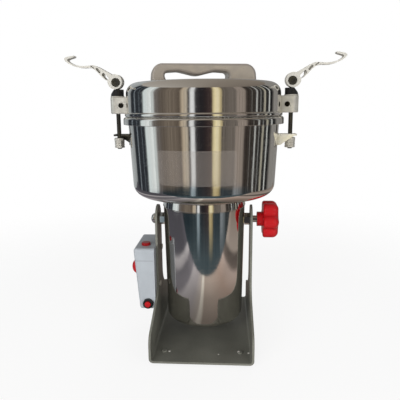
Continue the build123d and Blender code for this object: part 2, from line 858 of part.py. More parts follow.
def clamp_block():
    z = block_bottom
    body = outline((lid_r - overrun, -block_r, 0), (rod_x, -block_r, 0), (rod_x, block_r, 0),
                   (lid_r - overrun, block_r, 0))
    body += Pos(rod_x, 0) * Circle(block_r)
    body = Pos(0, 0, z) * extrude(body, block_h)
    ends = body.faces().sort_by(Axis.Z)
    body = chamfer(ends[0].edges() + ends[-1].edges(), block_edge)
    body -= lid_profile(seat_gap)
    body -= Pos(rod_x, 0, 0) * disc(rod_r + running, z - overrun, block_top + overrun)
    screw = Pos(rod_x - block_screw_in, z + block_h / 2.0) * Circle(block_screw_r + seat_gap)
    return body - bar_y(screw, -block_r - overrun, block_screw_l + slip - block_r)


def block_screw():
    x = rod_x - block_screw_in
    z = block_bottom + block_h / 2.0
    shank = Pos(x, z) * Circle(block_screw_r)
    head = Pos(x, z) * Circle(block_screw_head_r)
    screw = bar_y(shank, -block_r, block_screw_l - block_r)
    return screw + bar_y(head, -block_r - block_screw_head_h, -block_r)


def seat_washer():
    ring = disc(seat_r + seat_rim / 2.0, block_top, seat_bottom)
    return Pos(rod_x, 0, 0) * (ring - disc(rod_r + running, block_top - overrun, seat_bottom + overrun))


def cam_seat():
    """Moulded seat under the cam, sloped outside to let the lever come down."""
    seat = Pos(rod_x, 0, 0) * disc(seat_r, seat_bottom, seat_top)
    far = rod_x + seat_r + overrun
    rim = seat_bottom + seat_rim
    slope = outline((rod_x + seat_flat, seat_top, 0), (rod_x + seat_r, rim, 0), (far, rim, 0),
                    (far, seat_top + overrun, 0), (rod_x + seat_flat, seat_top + overrun, 0))
    seat -= bar_y(slope, -seat_r - overrun, seat_r + overrun)
    return seat - Pos(rod_x, 0, 0) * disc(rod_r + running, seat_bottom - overrun, seat_top + overrun)


def rod_nut_top():
    return ear_top - ear_t - rod_nut_slack


def clamp_rod():
    """Drawbolt with a cross barrel at its head for the cam pin."""
    low = rod_nut_top() - rod_nut_h - rod_end
    rod = Pos(rod_x, 0, 0) * disc(rod_r, low, cam_z)
    half_w = cheek_in - slip
    rod += bar_y(Pos(rod_x, cam_z) * Circle(barrel_r), -half_w, half_w)
    return rod - bar_y(Pos(rod_x, cam_z) * Circle(cam_pin_r + seat_gap), -cheek_out, cheek_out)


def rod_nut():
    top = rod_nut_top()
    low = top - rod_nut_h
    collar = top - rod_nut_h * nut_collar_share
    nut = hexagon(rod_nut_r, low, collar) + disc(rod_nut_r, collar, top)
    return Pos(rod_x, 0, 0) * (nut - disc(rod_r + seat_gap, low - overrun, top + overrun))


def cam_pin():
    reach = cheek_out + slip
    pin = bar_y(Pos(rod_x, cam_z) * Circle(cam_pin_r), -reach, reach)
    for side in (-1, 1):
        inner = side * reach
        outer = side * (reach + cam_pin_head_t)
        pin += bar_y(Pos(rod_x, cam_z) * Circle(cam_pin_head_r), min(inner, outer), max(inner, outer))
    return pin


def cam_lever():
    """Forked lever with an eccentric eye, pierced arm and a curled finger end."""
    half_swing = math.radians(cam_swing_angle / 2.0)
    eye = Pos(cam_throw * math.cos(half_swing), cam_throw * math.sin(half_swing)) * Circle(cam_r)
    corners = [(lever_reach * x, lever_rise * z, lever_rise * r) for x, z, r in lever_shares]
    side = Pos(rod_x, cam_z) * (eye + outline(*corners))
    lever = bar_y(side, -cheek_out, cheek_out)
    widths = {"cheek": cheek_out, "stem": lever_stem_half_w, "pad": lever_pad_half_w}
    edge = [(rod_x + lever_reach * x, widths[name]) for x, name in lever_plan_shares]
    plan = [(x, -y, 0) for x, y in edge] + [(x, y, 0) for x, y in reversed(edge)]
    lever &= extrude(outline(*plan), cam_z + lever_rise + overrun)
    fork = block(rod_x - cam_r - overrun, rod_x + lever_fork_depth, -cheek_in, cheek_in,
                 cam_z - lever_rise, cam_z + lever_rise)
    lever -= fork
    lever -= bar_y(Pos(rod_x, cam_z) * Circle(cam_pin_r + running), -cheek_out - overrun, cheek_out + overrun)
    for x, z in lever_hole_shares:
        hole = Pos(rod_x + lever_reach * x, cam_z + lever_rise * z) * Circle(lever_hole_r)
        lever -= bar_y(hole, -cheek_out - overrun, cheek_out + overrun)
    return lever


# Control box, its switches and its gland


def box_left(z):
    """Outer face of the sloping left side."""
    return box_back - box_w_low - box_slope * (z - box_z)


def box_prism(inset, back_x):
    half_l = box_half_l - inset
    low = box_z + inset
    high = box_top - inset
    face = outline((back_x, low, 0), (box_left(low) + inset, low, 0), (box_left(high) + inset, high, 0),
                   (back_x, high, 0))
    return bar_y(face, -half_l, half_l)


def timer_place():
    """Frame on the sloping left side, its Z pointing out of the box."""
    z = box_z + timer_rise
    return Pos(box_left(z), 0, z) * Rot(0, -90.0 - math.degrees(math.atan(box_slope)), 0)


def button_place():
    return Pos(box_back - button_x_in, button_y, box_top)


def reset_place():
    """Frame on the front face, its Z pointing forwards."""
    return Pos(box_back - reset_x_in, -box_half_l, box_z + reset_rise) * Rot(90, 0, 0)


def gland_place():
    """Frame on the back face, its Z pointing backwards."""
    return Pos(box_back - gland_x_in, box_half_l, box_z + gland_rise) * Rot(-90, 0, 0)


def control_box():
    outer = box_prism(0.0, box_face)
    outer = fillet(outer.edges().filter_by(lambda e: e.center().X < box_face - box_edge_r / 2.0), box_edge_r)
    box = outer - box_prism(box_t, box_face + overrun)
    for y, z in box_screw_places():
        post = bar_x(Pos(y, z) * Circle(box_boss_r), box_left(z) + box_t / 2.0, box_face)
        box += post - bar_x(Pos(y, z) * Circle(box_screw_r + seat_gap), box_face - box_boss_l - slip, box_face)
    box -= button_place() * disc(button_r + slip, -box_t - overrun, overrun)
    box -= timer_place() * disc(timer_spindle_r + slip, -box_t - overrun, overrun)
    box -= reset_place() * disc(reset_r + slip, -box_t - overrun, overrun)
    return box - gland_place() * disc(gland_r + seat_gap, -box_t - overrun, overrun)


def box_back_plate():
    half_l = box_half_l
    plate = bar_x(outline((-half_l, box_z, 0), (half_l, box_z, 0), (half_l, box_top, 0), (-half_l, box_top, 0)),
                  box_face, box_back)
    corners = plate.edges().filter_by(Axis.X)
    plate = fillet(corners, box_edge_r)
    for y, z in box_screw_places():
        plate -= bar_x(Pos(y, z) * Circle(box_screw_r + seat_gap), box_face - overrun, box_back + overrun)
    return plate


def box_screw(y, z):
    shank = bar_x(Pos(y, z) * Circle(box_screw_r), box_face - box_boss_l, -plate_in)
    return shank + bar_x(Pos(y, z) * Circle(box_screw_head_r), -plate_in, box_screw_head_h - plate_in)


def power_switch():
    half = switch_half_w
    body = block(-half, half, -half, half, -box_t - switch_h, -box_t)
    body -= disc(button_r + slip, -box_t - button_sunk - button_travel - slip, overrun)
    return button_place() * body


def power_button():
    low = -box_t - button_sunk
    return button_place() * turned((0, low, 0), (button_r, low, 0), (button_r, button_rise, button_round),
                                   (0, button_rise, 0))


def timer_body():
    body = disc(timer_body_r, -box_t - timer_body_h, -box_t)
    return timer_place() * (body - disc(timer_spindle_r + running, -box_t - timer_body_h / 2.0, overrun))


def timer_knob():
    top = timer_knob_h
    half_w = timer_mark_half_w
    knob = turned((0, slip, 0), (timer_knob_r, slip, 0), (timer_knob_r, top, timer_dome_r), (0, top, 0))
    knob -= block(0, timer_knob_r, -half_w, half_w, top - timer_mark_depth, top + overrun)
    knob += disc(timer_spindle_r, slip - box_t - timer_body_h / 2.0, slip)
    return timer_place() * knob


def breaker_body():
    body = disc(breaker_r, -box_t - breaker_l, -box_t)
    return reset_place() * (body - disc(reset_r + slip, -box_t - reset_sunk - reset_travel - slip, overrun))


def breaker_bezel():
    ring = turned((reset_r + slip, 0, 0), (reset_bezel_r, 0, 0), (reset_bezel_r, reset_bezel_h, button_round),
                  (reset_r + slip, reset_bezel_h, 0))
    return reset_place() * ring


def reset_button():
    low = -box_t - reset_sunk
    top = reset_bezel_h + reset_stand
    return reset_place() * turned((0, low, 0), (reset_r, low, 0), (reset_r, top, button_round), (0, top, 0))


def cord_gland():
    """Bushing for the supply lead, with its lock nut inside the box."""
    gland = hexagon(gland_nut_r, 0, gland_nut_t) + hexagon(gland_nut_r, -box_t - gland_nut_t / 2.0, -box_t)
    gland += turned((0, -box_t, 0), (gland_r, -box_t, 0), (gland_r, gland_l, gland_r / 2.0), (0, gland_l, 0))
    return gland_place() * (gland - disc(gland_bore_r, -box_t - gland_nut_t, gland_l + overrun))


# Every node of the assembly

keep("base_bracket", base_bracket())
keep("rubber_feet", *[place * rubber_foot() for place in foot_places()])
keep("foot_screws", *[place * foot_screw() for place in foot_places()])
keep("control_box", control_box())
keep("box_back_plate", box_back_plate())
keep("box_screws", *[box_screw(y, z) for y, z in box_screw_places()])
keep("power_switch", power_switch())
keep("power_button", power_button())
keep("timer_body", timer_body())
keep("timer_knob", timer_knob())
keep("breaker_body", breaker_body())
keep("breaker_bezel", breaker_bezel())
keep("reset_button", reset_button())
keep("cord_gland", cord_gland())

keep("motor_shell", motor_shell())
keep("top_collar", top_collar())
keep("base_cap", base_cap())
keep("trunnion_spacers", *both_sides(trunnion_spacer()))
keep("pivot_bolt_left", pivot_bolt_left())
keep("pivot_stud_right", pivot_stud_right())
keep("star_knob", star_knob())
keep("lower_end_bell", lower_end_bell())
keep("upper_end_bell", upper_end_bell())
keep("tie_bolts", *around(tie_count, tie_bolt(), tie_start_angle))
keep("ball_bearings", ball_bearing(lower_bell_z), ball_bearing(upper_bell_z))
keep("stator_core", stator_core())
keep("field_coils", field_coil(stator_z - coil_h), field_coil(stator_top))
keep("brush_holders", *around(2, brush_holder()))
keep("carbon_brushes", *around(2, carbon_brush()))

keep("motor_shaft", motor_shaft())
keep("armature_core", armature_core())
keep("armature_windings", armature_winding(stator_z - coil_h), armature_winding(stator_top))
keep("commutator", commutator())
keep("cooling_fan", cooling_fan())
keep("lower_blade", blade(lower_blade_z, lower_blade_r, lower_blade_angle))
keep("blade_spacer", blade_spacer())
keep("upper_blade", blade(upper_blade_z, upper_blade_r, upper_blade_angle))
keep("blade_nut", blade_nut())

keep("grinding_bowl", grinding_bowl())
keep("bowl_screws", *around(bowl_screws, bowl_screw()))
keep("shaft_seal", shaft_seal())
keep("bowl_ear_right", bowl_ear())
keep("bowl_ear_left", Rot(0, 0, 180) * bowl_ear())

keep("lid_shell", lid_shell())
keep("lid_pan", lid_pan())
keep("lid_gasket", lid_gasket())
keep("lid_handle", lid_handle())
keep("handle_screws", *[place * handle_screw() for place in handle_screw_places()])
keep("clamp_blocks", *both_sides(clamp_block()))
keep("block_screws", *both_sides(block_screw()))
keep("seat_washers", *both_sides(seat_washer()))
keep("cam_seats", *both_sides(cam_seat()))
for piece_name, right in (("clamp_rod", clamp_rod()), ("rod_nut", rod_nut()), ("cam_pin", cam_pin()),
                          ("cam_lever", cam_lever())):
    keep(piece_name + "_right", right)
    keep(piece_name + "_left", mirror(right, Plane.YZ))

for node_name, solid in nodes.items():
    export_step(solid, f"parts/{node_name}.step")
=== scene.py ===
"""Looks of a tilting electric spice grinder: finishes for its parts, smooth polished pieces, and a pale studio."""

import json
import math
from functools import partial

import bpy
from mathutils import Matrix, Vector


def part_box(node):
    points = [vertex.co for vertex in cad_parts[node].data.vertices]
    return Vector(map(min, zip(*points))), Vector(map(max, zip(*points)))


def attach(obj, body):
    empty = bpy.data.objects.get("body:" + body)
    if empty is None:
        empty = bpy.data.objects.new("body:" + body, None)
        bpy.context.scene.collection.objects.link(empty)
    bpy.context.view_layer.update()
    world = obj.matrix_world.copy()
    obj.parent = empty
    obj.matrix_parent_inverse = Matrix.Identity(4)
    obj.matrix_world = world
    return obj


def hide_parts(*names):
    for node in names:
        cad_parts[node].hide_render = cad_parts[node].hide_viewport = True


bl_info = {
    "name": "Electric Spice Grinder",
    "version": (1, 0, 0),
    "blender": (4, 5, 0),
    "location": "View3D > Sidebar > Grinder",
    "description": "Finishes, polished pieces and studio of a tilting electric spice grinder",
    "category": "Object",
}

MM = 0.001
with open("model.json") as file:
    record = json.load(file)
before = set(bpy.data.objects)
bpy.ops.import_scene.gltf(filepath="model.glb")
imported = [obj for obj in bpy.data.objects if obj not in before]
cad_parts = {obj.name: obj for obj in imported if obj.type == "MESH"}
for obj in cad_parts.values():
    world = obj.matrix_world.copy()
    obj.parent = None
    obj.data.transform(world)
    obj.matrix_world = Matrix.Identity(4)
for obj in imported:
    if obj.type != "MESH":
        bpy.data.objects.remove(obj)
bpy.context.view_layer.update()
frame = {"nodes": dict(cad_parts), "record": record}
NODES = frame["nodes"]


def linear(hex_text):
    """Linear RGBA of an sRGB hex colour."""
    channels = [int(hex_text[i:i + 2], 16) / 255 for i in (1, 3, 5)]
    return [c / 12.92 if c <= 0.04045 else ((c + 0.055) / 1.055) ** 2.4 for c in channels] + [1]


def length(name, description, millimetres):
    """A size that a user may change, given in millimetres and kept in metres."""
    return bpy.props.FloatProperty(name=name, description=description, default=millimetres * MM,
                                   unit="LENGTH", precision=4)


def angle(name, description, degrees):
    """An angle that a user may change, given in degrees and kept in radians."""
    return bpy.props.FloatProperty(name=name, description=description, default=math.radians(degrees),
                                   subtype="ANGLE")


def colour(name, description, hex_text):
    """A colour that a user may change, given as sRGB hex and kept linear."""
    return bpy.props.FloatVectorProperty(name=name, description=description, default=linear(hex_text),
                                         size=4, min=0, max=1, subtype="COLOR")


class GrinderSizes(bpy.types.PropertyGroup):
    """Sizes of the smooth pieces that the frame's boxes don't give."""
    shell_r_low: length("Shell radius, low", "Motor shell at its lower end", 56)
    shell_r_top: length("Shell radius, top", "Motor shell under its collar", 59)
    shell_wall: length("Shell wall", "Sheet of the motor shell", 1.5)
    shell_corner: length("Shell corner", "Round at the shell's lower edge", 7)
    shell_lip: length("Shell lip", "Flat lip turned in under the shell", 9)
    collar_over: length("Collar overhang", "Collar past the shell's top edge", 1)
    collar_wall: length("Collar wall", "Radial width of the top collar", 14)
    collar_groove: length("Collar groove", "Width and depth of the groove round the collar", 1.4)
    collar_band: length("Collar band", "Height of the bright band above the groove", 10.6)
    collar_taper: length("Collar taper", "How far the band leans in at its top", 1.4)
    collar_neck: length("Collar neck", "Set-back of the neck above the band", 3.5)
    bowl_r_low: length("Bowl radius, low", "Bowl wall carried down to its floor", 100)
    bowl_r_top: length("Bowl radius, top", "Bowl wall at the rim", 105)
    bowl_wall: length("Bowl wall", "Sheet of the bowl", 1.5)
    bowl_corner: length("Bowl corner", "Round between floor and wall", 15)
    bowl_hole: length("Bowl hole", "Radius of the hole for the shaft seal", 15)
    flange_drop: length("Flange drop", "Lip turned down from the bowl's rim", 10)
    flange_round: length("Flange round", "Round at the flange's top edge", 3.5)
    lid_r: length("Lid radius", "Upright wall of the lid", 106.5)
    lid_wall: length("Lid wall", "Sheet of the lid", 1.5)
    lid_shoulder: length("Lid shoulder", "Round between the lid's wall and top", 15)
    lid_crown: length("Lid crown", "Rise of the lid's top at its middle", 2)
    lid_bead: length("Lid bead", "Height of the bead round the lid's edge", 5.6)
    edge_round: length("Edge round", "Broken edge of cut sheet", 0.5)
    box_seam: length("Box seam", "Parting line of the control box above the floor", 124.4)
    film_low: length("Film, low", "Lower edge of the film above the floor", 243.5)
    film_high: length("Film, high", "Upper edge of the film above the floor", 287)
    film_round: length("Film corner", "Round at the film's corners", 5)
    film_thick: length("Film thickness", "Thickness of the film", 0.12)
    film_off: length("Film gap", "From the bowl's wall to the middle of the film", 0.24)
    film_left: angle("Film, left", "Left edge of the film, from the front", -30.5)
    film_right: angle("Film, right", "Right edge of the film, from the front", 26)
    eye_r: length("Lever eye", "Radius of a lever's round eye", 10.1)
    eye_out: length("Eye offset, out", "Eye's middle outwards from its pin", 1.31)
    eye_up: length("Eye offset, up", "Eye's middle above its pin", 1.1)
    cheek_out: length("Cheek, outside", "Half width over a lever's cheeks", 7.6)
    cheek_in: length("Cheek, inside", "Half width between a lever's cheeks", 3.8)
    web_half: length("Lever web", "Half thickness of the web between the windows of a lever's two sides", 1)
    pin_bore: length("Pin bore", "Radius of the hole for a cam pin", 3.2)
    pin_r: length("Pin radius", "Shank of a cam pin", 3)
    pin_head: length("Pin head", "Thickness of a cam pin's heads", 1.6)
    screw_r: length("Screw radius", "Shank of a block's screw", 1.8)
    screw_head: length("Screw head", "Thickness of a block screw's head", 2)
    nut_bore: length("Nut bore", "Bore of a rod's nut", 3.1)
    nut_collar: length("Nut collar", "Height of the round collar over a nut's flats", 4.2)
    nut_groove: length("Nut groove", "Depth of the grooves round a nut", 0.7)
    knob_r: length("Timer radius", "Radius of the timer's knob", 11.5)
    knob_h: length("Timer height", "Height of the timer's knob", 12.5)
    knob_gap: length("Timer gap", "Gap between the timer's knob and the box", 0.3)
    knob_dome: length("Timer dome", "Round over the timer's knob", 9.4)
    knob_slot: length("Timer pointer", "Half width of the groove that points on the timer's knob", 0.9)


class GrinderColours(bpy.types.PropertyGroup):
    """Base colours of the finishes."""
    steel: colour("Steel", "Polished stainless steel", "#e2dfda")
    satin: colour("Satin steel", "Satin stainless steel of the handle", "#b6aea5")
    film: colour("Film", "Clear film on the bowl", "#b3aaa3")
    zinc: colour("Zinc", "Zinc plated steel", "#dedbd2")
    passivate: colour("Passivate", "Yellow tinge of passivated zinc", "#ece5c8")
    dark_steel: colour("Dark steel", "Blackened steel", "#3b3935")
    paint: colour("Paint", "Olive grey paint of the bracket", "#6b6b63")
    # Painted glints: bright spots at the foot screws of the bracket's floor
    screw_glint: colour("Painted screw glint", "Painted glints at the foot screws of the bracket's floor", "#efece4")
    box_grey: colour("Box grey", "Grey plastic of the control box", "#9ca1a6")
    red: colour("Red", "Red plastic of the knobs and buttons", "#a80d15")
    black: colour("Black", "Black plastic", "#19191b")
    rubber: colour("Rubber", "Black rubber of the feet", "#1d1c1b")
    silicone: colour("Silicone", "White silicone of the seals", "#e6e4dc")
    cast: colour("Cast aluminium", "Sand cast aluminium", "#b0aea9")
    iron: colour("Core iron", "Stacked iron sheet", "#5d5f62")
    copper: colour("Copper", "Enamelled copper wire", "#a85a32")


class GrinderStudio(bpy.types.PropertyGroup):
    """Camera and light."""
    camera_distance: length("Camera distance", "From the grinder's axis, level", 622)
    camera_height: length("Camera height", "Above the floor", 338)
    camera_side: angle("Camera side", "Turn of the camera round the grinder, to the right", 3)
    camera_pitch: angle("Camera pitch", "How far the camera looks down", 12)
    camera_aim: angle("Camera aim", "Turn of the camera away from the axis, to the left", 0.45)
    camera_roll: angle("Camera roll", "Turn of the camera about its line of sight", 0.5)
    camera_lens: bpy.props.FloatProperty(name="Lens", description="Focal length on a 36 mm wide frame",
                                         default=39.15, subtype="DISTANCE_CAMERA")
    table_front: length("Table front", "From the axis to the front edge of the table that the steel mirrors", 307)
    table_side: length("Table side", "From the axis to the side of that table", 900)
    table_turn: angle("Table turn", "Turn of that table about the axis", 9)
    room_radius: length("Room radius", "Round wall that the steel mirrors", 1500)
    room_drop: length("Room drop", "Depth of that wall below the floor", 1200)
    room_height: length("Room height", "Height of that wall above the floor", 1400)


def sizes():
    """The sizes in use."""
    return bpy.context.scene.grinder_sizes


def colours():
    """The base colours in use."""
    return bpy.context.scene.grinder_colours


def studio():
    """The settings of camera and light in use."""
    return bpy.context.scene.grinder_studio


# Materials

# Where most values of a noise pattern lie
MOST = {"From Min": 0.3, "From Max": 0.7}
# Half height of the parting line on a moulding, and its share of the brightness round it
SEAM_HALF = 0.45 * MM
SEAM_SHARE = 0.62


def add_node(tree, kind, inputs=None, **settings):
    """Adds a node with its settings; an input that is given a node or a socket is linked, any other is set."""
    node = tree.nodes.new(kind)
    for name, value in settings.items():
        setattr(node, name, value)
    for name, value in (inputs or {}).items():
        if isinstance(value, bpy.types.Node):
            value = next(socket for socket in value.outputs if socket.enabled)
        if isinstance(value, bpy.types.NodeSocket):
            tree.links.new(value, node.inputs[name])
        else:
            node.inputs[name].default_value = value
    return node


def blank(name):
    """A new material, what adds nodes to its empty tree, and the object's coordinates in it."""
    material = bpy.data.materials.new(name)
    material.use_nodes = True
    material.node_tree.nodes.clear()
    add = partial(add_node, material.node_tree)
    return material, add, add("ShaderNodeTexCoord").outputs["Object"]


def finish(material, shader):
    """Ends a material with its shader."""
    add_node(material.node_tree, "ShaderNodeOutputMaterial", {"Surface": shader})
    return material


def per_metre(millimetres):
    """Pattern scale for features of this size."""
    return 1 / (millimetres * MM)


def darker(base, share):
    """A colour at a share of its brightness."""
    return [share * value for value in base[:3]] + [1]


def polished_stainless(name, base, roughness, ripple):
    """Spun 201 stainless, buffed to a mirror: sharp streaks of the room, faint buffing lines round the axis,
    a slow ripple left by the spinning, and hand smears that dull it in patches."""
    material, add, place = blank(name)
    # Buffing lines are about 0.1 mm apart; 2.5 mm is as fine as shows at this size.
    stretched = add("ShaderNodeMapping", {"Vector": place, "Scale": [per_metre(90), per_metre(90), per_metre(2.5)]})
    lines = add("ShaderNodeTexNoise", {"Vector": stretched, "Scale": 1, "Detail": 3})
    smears = add("ShaderNodeTexNoise", {"Vector": place, "Scale": per_metre(38), "Detail": 4, "Distortion": 1.2})
    both = add("ShaderNodeMath", {0: lines, 1: smears}, operation="MULTIPLY")
    rough = add("ShaderNodeMapRange", {"Value": both, "From Min": 0.12, "From Max": 0.45,
                                       "To Min": roughness, "To Max": roughness * 2.6})
    waves = add("ShaderNodeTexNoise", {"Vector": place, "Scale": per_metre(26), "Detail": 1})
    bump = add("ShaderNodeBump", {"Height": waves, "Strength": 1, "Distance": ripple})
    fine = add("ShaderNodeBump", {"Height": lines, "Strength": 0.5, "Distance": ripple * 0.1, "Normal": bump})
    return finish(material, add("ShaderNodeBsdfPrincipled", {
        "Base Color": base, "Metallic": 1, "Roughness": rough, "Normal": fine}))


def plated_steel(name, base, tint, roughness, metallic=1):
    """Zinc plated mild steel: a soft shine, faintly cloudy where the plating is thin, finely pitted by the barrel."""
    material, add, place = blank(name)
    clouds = add("ShaderNodeTexNoise", {"Vector": place, "Scale": per_metre(9), "Detail": 5})
    pits = add("ShaderNodeTexNoise", {"Vector": place, "Scale": per_metre(1.2), "Detail": 2})
    ramp = add("ShaderNodeMapRange", {"Value": clouds, "From Min": 0.35, "From Max": 0.65})
    mixed = add("ShaderNodeMix", {"Factor": ramp, "A": base, "B": tint}, data_type="RGBA")
    rough = add("ShaderNodeMapRange", {"Value": clouds, **MOST, "To Min": roughness * 0.75, "To Max": roughness * 1.3})
    bump = add("ShaderNodeBump", {"Height": pits, "Strength": 0.3, "Distance": 0.03 * MM})
    return finish(material, add("ShaderNodeBsdfPrincipled", {
        "Base Color": mixed, "Metallic": metallic, "Roughness": rough, "Normal": bump}))


# Painted glints at the foot screws in the bracket's floor, and one more on the floor, as (x, y, z, size) in millimetres
SCREW_GLINTS = [(-45.4, -78.7, 8, 1.8), (22.5, -83.4, 8, 1.1), (49.9, -78.1, 8.8, 2.2), (63.5, -78.5, 8, 1.9)]


def stoved_paint(name, base, screw_glint):
    """Stoved paint on folded steel: a satin film with orange peel, slightly uneven in tone, with dust, and painted
    glints at the foot screws.
    """
    material, add, place = blank(name)
    tone = add("ShaderNodeTexNoise", {"Vector": place, "Scale": per_metre(45), "Detail": 5})
    speck = add("ShaderNodeTexNoise", {"Vector": place, "Scale": per_metre(1.6), "Detail": 2})
    # Orange peel is about 1 mm across; 2 mm shows at this size.
    peel = add("ShaderNodeTexNoise", {"Vector": place, "Scale": per_metre(2), "Detail": 1})
    shade = add("ShaderNodeMapRange", {"Value": tone, **MOST, "To Min": 0.8, "To Max": 1.15})
    dust = add("ShaderNodeMapRange", {"Value": speck, "From Min": 0.4, "From Max": 0.75, "To Min": 0.94, "To Max": 1.2})
    level = add("ShaderNodeMath", {0: shade, 1: dust}, operation="MULTIPLY")
    painted = add("ShaderNodeHueSaturation", {"Color": base, "Value": level})
    # Bright spots at the listed places are painted glints at the foot screws, mixed into the paint's colour
    glint_mask = 0
    for x, y, z, size in SCREW_GLINTS:
        away = add("ShaderNodeVectorMath", {0: place, 1: [x * MM, y * MM, z * MM]}, operation="DISTANCE")
        glint_spot = add("ShaderNodeMapRange", {"Value": away, "From Min": 0.6 * size * MM, "From Max": size * MM,
                                          "To Min": 1, "To Max": 0})
        glint_mask = add("ShaderNodeMath", {0: glint_mask, 1: glint_spot}, operation="MAXIMUM")
    painted = add("ShaderNodeMix", {"Factor": glint_mask, "A": painted, "B": screw_glint}, data_type="RGBA")
    rough = add("ShaderNodeMapRange", {"Value": tone, **MOST, "To Min": 0.36, "To Max": 0.52})
    bump = add("ShaderNodeBump", {"Height": peel, "Strength": 0.35, "Distance": 0.12 * MM})
    return finish(material, add("ShaderNodeBsdfPrincipled", {
        "Base Color": painted, "Roughness": rough, "IOR": 1.5, "Normal": bump}))


def moulded_plastic(name, base, roughness, grain, depth, seam=None):
    """Injection moulded ABS: an even colour, a spark eroded grain, faint flow marks, and a parting line at a height."""
    material, add, place = blank(name)
    flow = add("ShaderNodeTexNoise", {"Vector": place, "Scale": per_metre(30), "Detail": 3, "Distortion": 0.8})
    spark = add("ShaderNodeTexNoise", {"Vector": place, "Scale": per_metre(grain), "Detail": 2})
    level = add("ShaderNodeMapRange", {"Value": flow, **MOST, "To Min": 0.95, "To Max": 1.05})
    tone = add("ShaderNodeHueSaturation", {"Color": base, "Value": level})
    if seam is not None:
        height = add("ShaderNodeSeparateXYZ", {"Vector": place}).outputs["Z"]
        line = add("ShaderNodeMath", {0: height, 1: seam, 2: SEAM_HALF}, operation="COMPARE")
        tone = add("ShaderNodeMix", {"Factor": line, "A": tone, "B": darker(base, SEAM_SHARE)}, data_type="RGBA")
    rough = add("ShaderNodeMapRange", {"Value": flow, **MOST, "To Min": roughness * 0.85, "To Max": roughness * 1.2})
    bump = add("ShaderNodeBump", {"Height": spark, "Strength": 0.3, "Distance": depth * MM})
    return finish(material, add("ShaderNodeBsdfPrincipled", {
        "Base Color": tone, "Roughness": rough, "IOR": 1.52, "Normal": bump}))


def clear_film(name, base):
    """Clear polypropylene film stuck to the bowl: a faint warm veil with a soft shine and slow wrinkles."""
    material, add, place = blank(name)
    wrinkle = add("ShaderNodeTexNoise", {"Vector": place, "Scale": per_metre(18), "Detail": 2})
    rough = add("ShaderNodeMapRange", {"Value": wrinkle, **MOST, "To Min": 0.12, "To Max": 0.28})
    bump = add("ShaderNodeBump", {"Height": wrinkle, "Strength": 0.3, "Distance": 0.05 * MM})
    return finish(material, add("ShaderNodeBsdfPrincipled", {
        "Base Color": base, "Roughness": rough, "IOR": 1.49, "Alpha": 0.08, "Normal": bump}))


def soft_rubber(name, base, roughness):
    """Moulded rubber or silicone: matt, with a bloom that lightens it in patches."""
    material, add, place = blank(name)
    bloom = add("ShaderNodeTexNoise", {"Vector": place, "Scale": per_metre(6), "Detail": 4})
    level = add("ShaderNodeMapRange", {"Value": bloom, **MOST, "To Min": 0.85, "To Max": 1.15})
    toned = add("ShaderNodeHueSaturation", {"Color": base, "Value": level})
    bump = add("ShaderNodeBump", {"Height": bloom, "Strength": 0.3, "Distance": 0.1 * MM})
    return finish(material, add("ShaderNodeBsdfPrincipled", {
        "Base Color": toned, "Roughness": roughness, "IOR": 1.45, "Normal": bump}))


def rough_metal(name, base, roughness, grain):
    """Cast or stacked metal: a dull shine broken by its grain."""
    material, add, place = blank(name)
    sand = add("ShaderNodeTexNoise", {"Vector": place, "Scale": per_metre(grain), "Detail": 5})
    level = add("ShaderNodeMapRange", {"Value": sand, **MOST, "To Min": 0.8, "To Max": 1.1})
    toned = add("ShaderNodeHueSaturation", {"Color": base, "Value": level})
    bump = add("ShaderNodeBump", {"Height": sand, "Strength": 0.5, "Distance": 0.1 * MM})
    return finish(material, add("ShaderNodeBsdfPrincipled", {
        "Base Color": toned, "Metallic": 1, "Roughness": roughness, "Normal": bump}))


def make_finishes():
    """Every finish of the grinder, by its material slot, and those that only single parts have."""
    c = colours()
    return {
        "polished_steel": polished_stainless("buffed_stainless", c.steel, 0.05, 0.09 * MM),
        "zinc_steel": plated_steel("zinc_plate", c.zinc, darker(c.zinc, 0.8), 0.34, 0.6),
        "satin_steel": plated_steel("satin_stainless", c.satin, darker(c.satin, 0.93), 0.36, 0.6),
        "yellow_plate": plated_steel("yellow_zinc_plate", c.passivate, c.zinc, 0.45, 0.35),
        "bright_plate": plated_steel("bright_zinc_plate", darker(c.zinc, 0.74), darker(c.zinc, 0.7), 0.42, 0.15),
        # Near-black plate of the rods and pins, and painted shade on the left bowl ear
        "dark_plate_and_painted_shade": plated_steel("dark_zinc_plate_and_painted_shade", darker(c.passivate, 0.12), darker(c.zinc, 0.1), 0.4, 0.8),
        "dark_steel": plated_steel("blackened_steel", c.dark_steel, darker(c.dark_steel, 0.5), 0.34),
        # The bracket's paint carries painted glints at the foot screws
        "bracket_paint": stoved_paint("stoved_paint", c.paint, c.screw_glint),
        "box_plastic": moulded_plastic("grained_grey_abs", c.box_grey, 0.42, 1.4, 0.06),
        "seamed_box": moulded_plastic("seamed_grey_abs", c.box_grey, 0.42, 1.4, 0.06, sizes().box_seam),
        "black_plastic": moulded_plastic("grained_black_abs", c.black, 0.38, 1.4, 0.05),
        "red_plastic": moulded_plastic("glossy_red_abs", c.red, 0.3, 2.2, 0.05),
        "deep_red": moulded_plastic("deep_red_abs", darker(c.red, 0.6), 0.35, 2.2, 0.05),
        "clear_film": clear_film("clear_film", c.film),
        "black_rubber": soft_rubber("moulded_rubber", c.rubber, 0.7),
        "white_silicone": soft_rubber("moulded_silicone", c.silicone, 0.55),
        "cast_aluminium": rough_metal("sand_cast_aluminium", c.cast, 0.45, 1.5),
        "core_iron": rough_metal("stacked_core_iron", c.iron, 0.5, 2),
        "copper_wire": rough_metal("enamelled_copper", c.copper, 0.35, 1.2),
    }


FINISHES = {}
